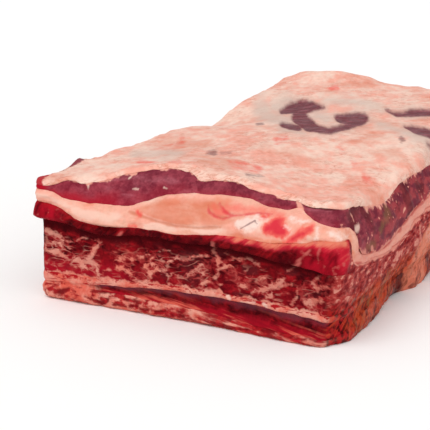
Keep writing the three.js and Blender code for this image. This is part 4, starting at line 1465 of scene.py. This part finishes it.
class SHORTRIBS_OT_flap_meat(LayerOperator, bpy.types.Operator):
    """Build the thin band of red lean that overhangs the front cut"""

    bl_idname = "short_ribs.flap_meat"
    bl_label = "Flap Lean"

    def execute(self, context):
        slab, tint = self.slab(context), self.tint(context)
        front, right, _, _ = slab.line.faces()
        lip = 0.3 + 2.9 * front
        skin = layer_skin(slab, "marbled_top", "flap_top", rows=22, lip=lip, bulge=0.8, ends=(1.8, 0.6))
        skin.push(0.45 * skin.noise(8, 51) + 0.2 * skin.noise(3, 52))

        # Near the front cut both ends are fresh, and the fatty rim on the right reaches down at the corner.
        near = smooth(9, 4, skin.y - slab.near)
        ends = np.maximum(smooth(57, 72, skin.x), smooth(-58, -70, skin.x)) * near
        low = 0.1 + 0.5 * smooth(50, 66, skin.x) - 0.3 * smooth(70, 84, skin.x)
        rim = near * smooth(8, 30, skin.x) * smooth(low, 1.0, skin.share)
        rim = np.maximum(rim, near * smooth(80, 85, skin.x) * (0.5 + 0.4 * skin.share))
        fields = skin.fields(
            fresh=ends,
            rim=rim,
            below=slab.edge("flap_top") - skin.z,
            wall=right * smooth(4, 8, slab.line.back),
            marks=skin.front_marks(FLAP_VEINS),
        )
        piece = skin_object("flap_meat", skin, fields)
        settle(piece, "flap_meat", meat_material("Flap lean", paint_flap_meat, tint, LEAN_SHINE))
        return {"FINISHED"}


class SHORTRIBS_OT_seam_fat(LayerOperator, bpy.types.Operator):
    """Build the ledge of cream fat on the front shoulder and its seam round the sides"""

    bl_idname = "short_ribs.seam_fat"
    bl_label = "Seam Fat"

    def execute(self, context):
        slab, tint = self.slab(context), self.tint(context)
        front, right, _, _ = slab.line.faces()
        bulge = 1.6 * front + 0.6 * right
        skin = layer_skin(slab, "flap_top", "seam_top", rows=44, bulge=bulge, ends=(0.6, 0.8))
        placed = {
            "crease": SEAM_CREASE,
            "folds": SEAM_FOLDS,
            "blood": SEAM_BLOOD,
            "flush": SEAM_FLUSH,
            "white": SEAM_WHITE,
            "tear": SEAM_TEAR,
        }
        marks = {name: skin.front_marks(lines) for name, lines in placed.items()}

        # Relief: long swells and a full middle, with sunk creases, folds and tear, and rough torn tissue.
        swell = lumps(0.6 * skin.x, skin.y, 1.5 * skin.z, 9, 61, 3)
        relief = 0.8 * swell + 0.15 * skin.noise(3, 62)
        relief = relief + 1.5 * front * hill(skin.x, 0, 25) * hill(skin.z, 55, 5)
        lines = np.maximum(marks["crease"], marks["folds"])
        relief = relief - 0.6 * hill(lines, 0.3, 0.9) - 0.6 * smooth(-0.5, 0.2, marks["tear"])
        relief = relief + smooth(-1, 1, marks["white"]) * (0.5 + 0.6 * skin.noise(2.4, 63))
        skin.push(relief)

        # Orange above the crease. The hollow field follows the sunk relief for painted shade, and is lowered
        # along a crest at the left and a band below the crease for painted highlights.
        above = smooth(0.2, 2.0, skin.z - through(SEAM_CREASE_LINE, skin.x))
        middle = smooth(-40, -20, skin.x) * smooth(42, 14, skin.x)
        orange = front * above * middle * smooth(1.0, 0.75, skin.share)
        crest = hill(skin.share, 0.5, 0.25) * smooth(-20, -36, skin.x)
        band = hill(skin.share, 0.16, 0.1) * smooth(-24, -8, skin.x) * smooth(34, 20, skin.x)
        hollow = -swell * (0.6 + 0.4 * smooth(-45, -25, skin.x)) - 2.5 * front * (crest + band)
        stripe = right * smooth(10, 16, slab.line.back)
        hem = smooth(10, 6, slab.line.back) * smooth(0.25, 0.0, skin.share) * smooth(10, 40, skin.x)
        shades = {"orange": orange, "hollow": hollow, "stripe": stripe, "hem": hem}
        piece = skin_object("seam_fat", skin, skin.fields(**shades, **marks))
        settle(piece, "seam_fat", meat_material("Seam fat", paint_seam_fat, tint, FAT_SHINE))
        return {"FINISHED"}


class SHORTRIBS_OT_cap_meat(LayerOperator, bpy.types.Operator):
    """Build the band of purple lean under the fat cap"""

    bl_idname = "short_ribs.cap_meat"
    bl_label = "Cap Lean"

    def execute(self, context):
        slab, tint = self.slab(context), self.tint(context)
        front, right, _, left = slab.line.faces()
        skin = layer_skin(slab, "seam_top", "cap_top", rows=36, bulge=0.6, ends=(0.4, 0.5))
        ridges = lumps(skin.x, skin.y + 0.5 * skin.z, 0.2 * skin.z, 4, 73)
        skin.push(0.35 * skin.noise(12, 71) + 0.12 * skin.noise(4, 72) + 0.25 * right * ridges)
        fields = skin.fields(
            marks=np.maximum(skin.front_marks(CAP_FAT_AND_GLINTS), skin.right_marks(RIGHT_FAT)),
            red=front * smooth(-15, -62, skin.x),
            tip=(front + left * smooth(26, 8, slab.line.back)) * smooth(-68, -75, skin.x),
            olive=skin.right_marks(RIGHT_OLIVE),
            # Where the painted shadow line under the fat cap's edge lies.
            shade=front * smooth(60, 62, skin.x) * smooth(0.7, 0.95, skin.share),
            bead=skin.right_marks(RIGHT_BEAD),
        )
        piece = skin_object("cap_meat", skin, fields)
        settle(piece, "cap_meat", meat_material("Cap lean", paint_cap_meat, tint, LEAN_SHINE))
        return {"FINISHED"}


class SHORTRIBS_OT_fat_cap(LayerOperator, bpy.types.Operator):
    """Build the fat cap over the top, with the bare patches of lean that show through it"""

    bl_idname = "short_ribs.fat_cap"
    bl_label = "Fat Cap"

    def execute(self, context):
        slab, tint = self.slab(context), self.tint(context)
        rings = np.linspace(0.0, 1.0, 101)[1:-1] ** 1.1
        lip = 0.2 + 0.6 * slab.line.faces()[0]
        profile = {"lip": lip, "bulge": 0.3, "ends": (0.5, 0.3)}
        skin = layer_skin(slab, "cap_top", "fat_top", rows=8, top_rings=rings, **profile)
        across = TOP_AXIS[0] * skin.x + TOP_AXIS[1] * skin.y
        deep = TOP_DEPTH * (TOP_AXIS[0] * skin.y - TOP_AXIS[1] * skin.x)
        marks = {"blood": TOP_BLOOD, "grey": TOP_GREY, "dark": TOP_DARK}
        fields = {name: strokes(across, deep, places) for name, places in marks.items()}
        fields["bare"] = np.minimum(strokes(across, deep, BARE_LEAN), -strokes(across, deep, FAT_ISLAND))
        fields["tip"] = strokes(skin.x, skin.y - slab.near, LEFT_TIP)

        # Relief: broad and small lumps and fine streaks, sunk where lean is bare.
        relief = 0.6 * lumps(skin.x, skin.y, 0.0, 24, 81) + 0.2 * lumps(skin.x, skin.y, 0.0, 8, 82)
        relief = relief + 0.12 * lumps(0.25 * across, 4 * deep, 0.0, 4, 83)
        relief = relief - 0.8 * smooth(-1.0, 1.0, fields["bare"])
        skin.push(0.3 * relief, relief)
        piece = skin_object("fat_cap", skin, skin.fields(**fields))
        settle(piece, "fat_cap", meat_material("Fat cap", paint_fat_cap, tint, FAT_SHINE))
        return {"FINISHED"}


def sun(name, strength, towards, angle):
    """A distant light that shines from a direction, with a wide disc for soft shadows."""
    light = bpy.data.lights.new(name, "SUN")
    light.energy = strength
    light.angle = angle
    lamp = bpy.data.objects.new(name, light)
    lamp.matrix_world = Vector(towards).to_track_quat("Z", "Y").to_matrix().to_4x4()
    bpy.context.scene.collection.objects.link(lamp)


class SHORTRIBS_OT_stage(bpy.types.Operator):
    """Set the pale floor, the soft lights and the camera"""

    bl_idname = "short_ribs.stage"
    bl_label = "Stage"

    def execute(self, context):
        scene, stage = context.scene, context.scene.short_ribs_stage
        half = stage.floor_size / 2
        mesh = bpy.data.meshes.new("floor")
        corners = [(-half, -half, 0), (half, -half, 0), (half, half, 0), (-half, half, 0)]
        mesh.from_pydata(corners, [], [(0, 1, 2, 3)])
        floor = bpy.data.objects.new("floor", mesh)
        scene.collection.objects.link(floor)
        paper = bpy.data.materials.new("Pale floor")
        paper.use_nodes = True
        shader = paper.node_tree.nodes["Principled BSDF"]
        shader.inputs["Base Color"].default_value = (*stage.floor_colour, 1)
        shader.inputs["Roughness"].default_value = 0.9
        shader.inputs["Specular IOR Level"].default_value = 0.1
        mesh.materials.append(paper)

        world = bpy.data.worlds.new("Even light")
        world.use_nodes = True
        world.node_tree.nodes["Background"].inputs["Color"].default_value = (1, 1, 1, 1)
        world.node_tree.nodes["Background"].inputs["Strength"].default_value = stage.sky
        scene.world = world
        scene.view_settings.view_transform = "Standard"
        sun("key light", stage.key_light, KEY_FROM, KEY_DISC)
        sun("fill light", stage.fill_light, FILL_FROM, FILL_DISC)

        azimuth, elevation = stage.azimuth, stage.elevation
        right = Vector((np.cos(azimuth), np.sin(azimuth), 0))
        level = Vector((np.sin(azimuth), -np.cos(azimuth), 0))
        towards = level * np.cos(elevation) + Vector((0, 0, np.sin(elevation)))
        lens = bpy.data.cameras.new("camera")
        lens.lens = stage.lens
        lens.sensor_width = SENSOR_WIDTH
        camera = bpy.data.objects.new("camera", lens)
        turn = Matrix((right, towards.cross(right), towards)).transposed().to_4x4()
        camera.matrix_world = Matrix.Translation(stage.camera_at) @ turn
        scene.collection.objects.link(camera)
        scene.camera = camera
        return {"FINISHED"}


class SHORTRIBS_PT_panel(bpy.types.Panel):
    """Lists the slab's pieces and its stage"""

    bl_idname = "SHORTRIBS_PT_panel"
    bl_label = "Short Ribs"
    bl_space_type = "VIEW_3D"
    bl_region_type = "UI"
    bl_category = "Short Ribs"

    def draw(self, context):
        for operator in OPERATORS:
            self.layout.operator(operator.bl_idname)


OPERATORS = (
    SHORTRIBS_OT_lower_layers,
    SHORTRIBS_OT_marbled_meat,
    SHORTRIBS_OT_flap_meat,
    SHORTRIBS_OT_seam_fat,
    SHORTRIBS_OT_cap_meat,
    SHORTRIBS_OT_fat_cap,
    SHORTRIBS_OT_stage,
)
SETTINGS = {
    "short_ribs_sizes": SlabSizes,
    "short_ribs_colours": MeatColours,
    "short_ribs_stage": StageSettings,
}


def register():
    """Adds the settings, the operators and the panel."""
    for group in SETTINGS.values():
        bpy.utils.register_class(group)
    for pointer, group in SETTINGS.items():
        setattr(bpy.types.Scene, pointer, PointerProperty(type=group))
    for operator in OPERATORS:
        bpy.utils.register_class(operator)
    bpy.utils.register_class(SHORTRIBS_PT_panel)


def unregister():
    """Removes the panel, the operators and the settings."""
    bpy.utils.unregister_class(SHORTRIBS_PT_panel)
    for operator in reversed(OPERATORS):
        bpy.utils.unregister_class(operator)
    for pointer, group in SETTINGS.items():
        delattr(bpy.types.Scene, pointer)
        bpy.utils.unregister_class(group)


def main():
    """Builds every piece and the stage."""
    register()
    bpy.ops.short_ribs.lower_layers()
    bpy.ops.short_ribs.marbled_meat()
    bpy.ops.short_ribs.flap_meat()
    bpy.ops.short_ribs.seam_fat()
    bpy.ops.short_ribs.cap_meat()
    bpy.ops.short_ribs.fat_cap()
    bpy.ops.short_ribs.stage()


if __name__ == "__main__":
    main()
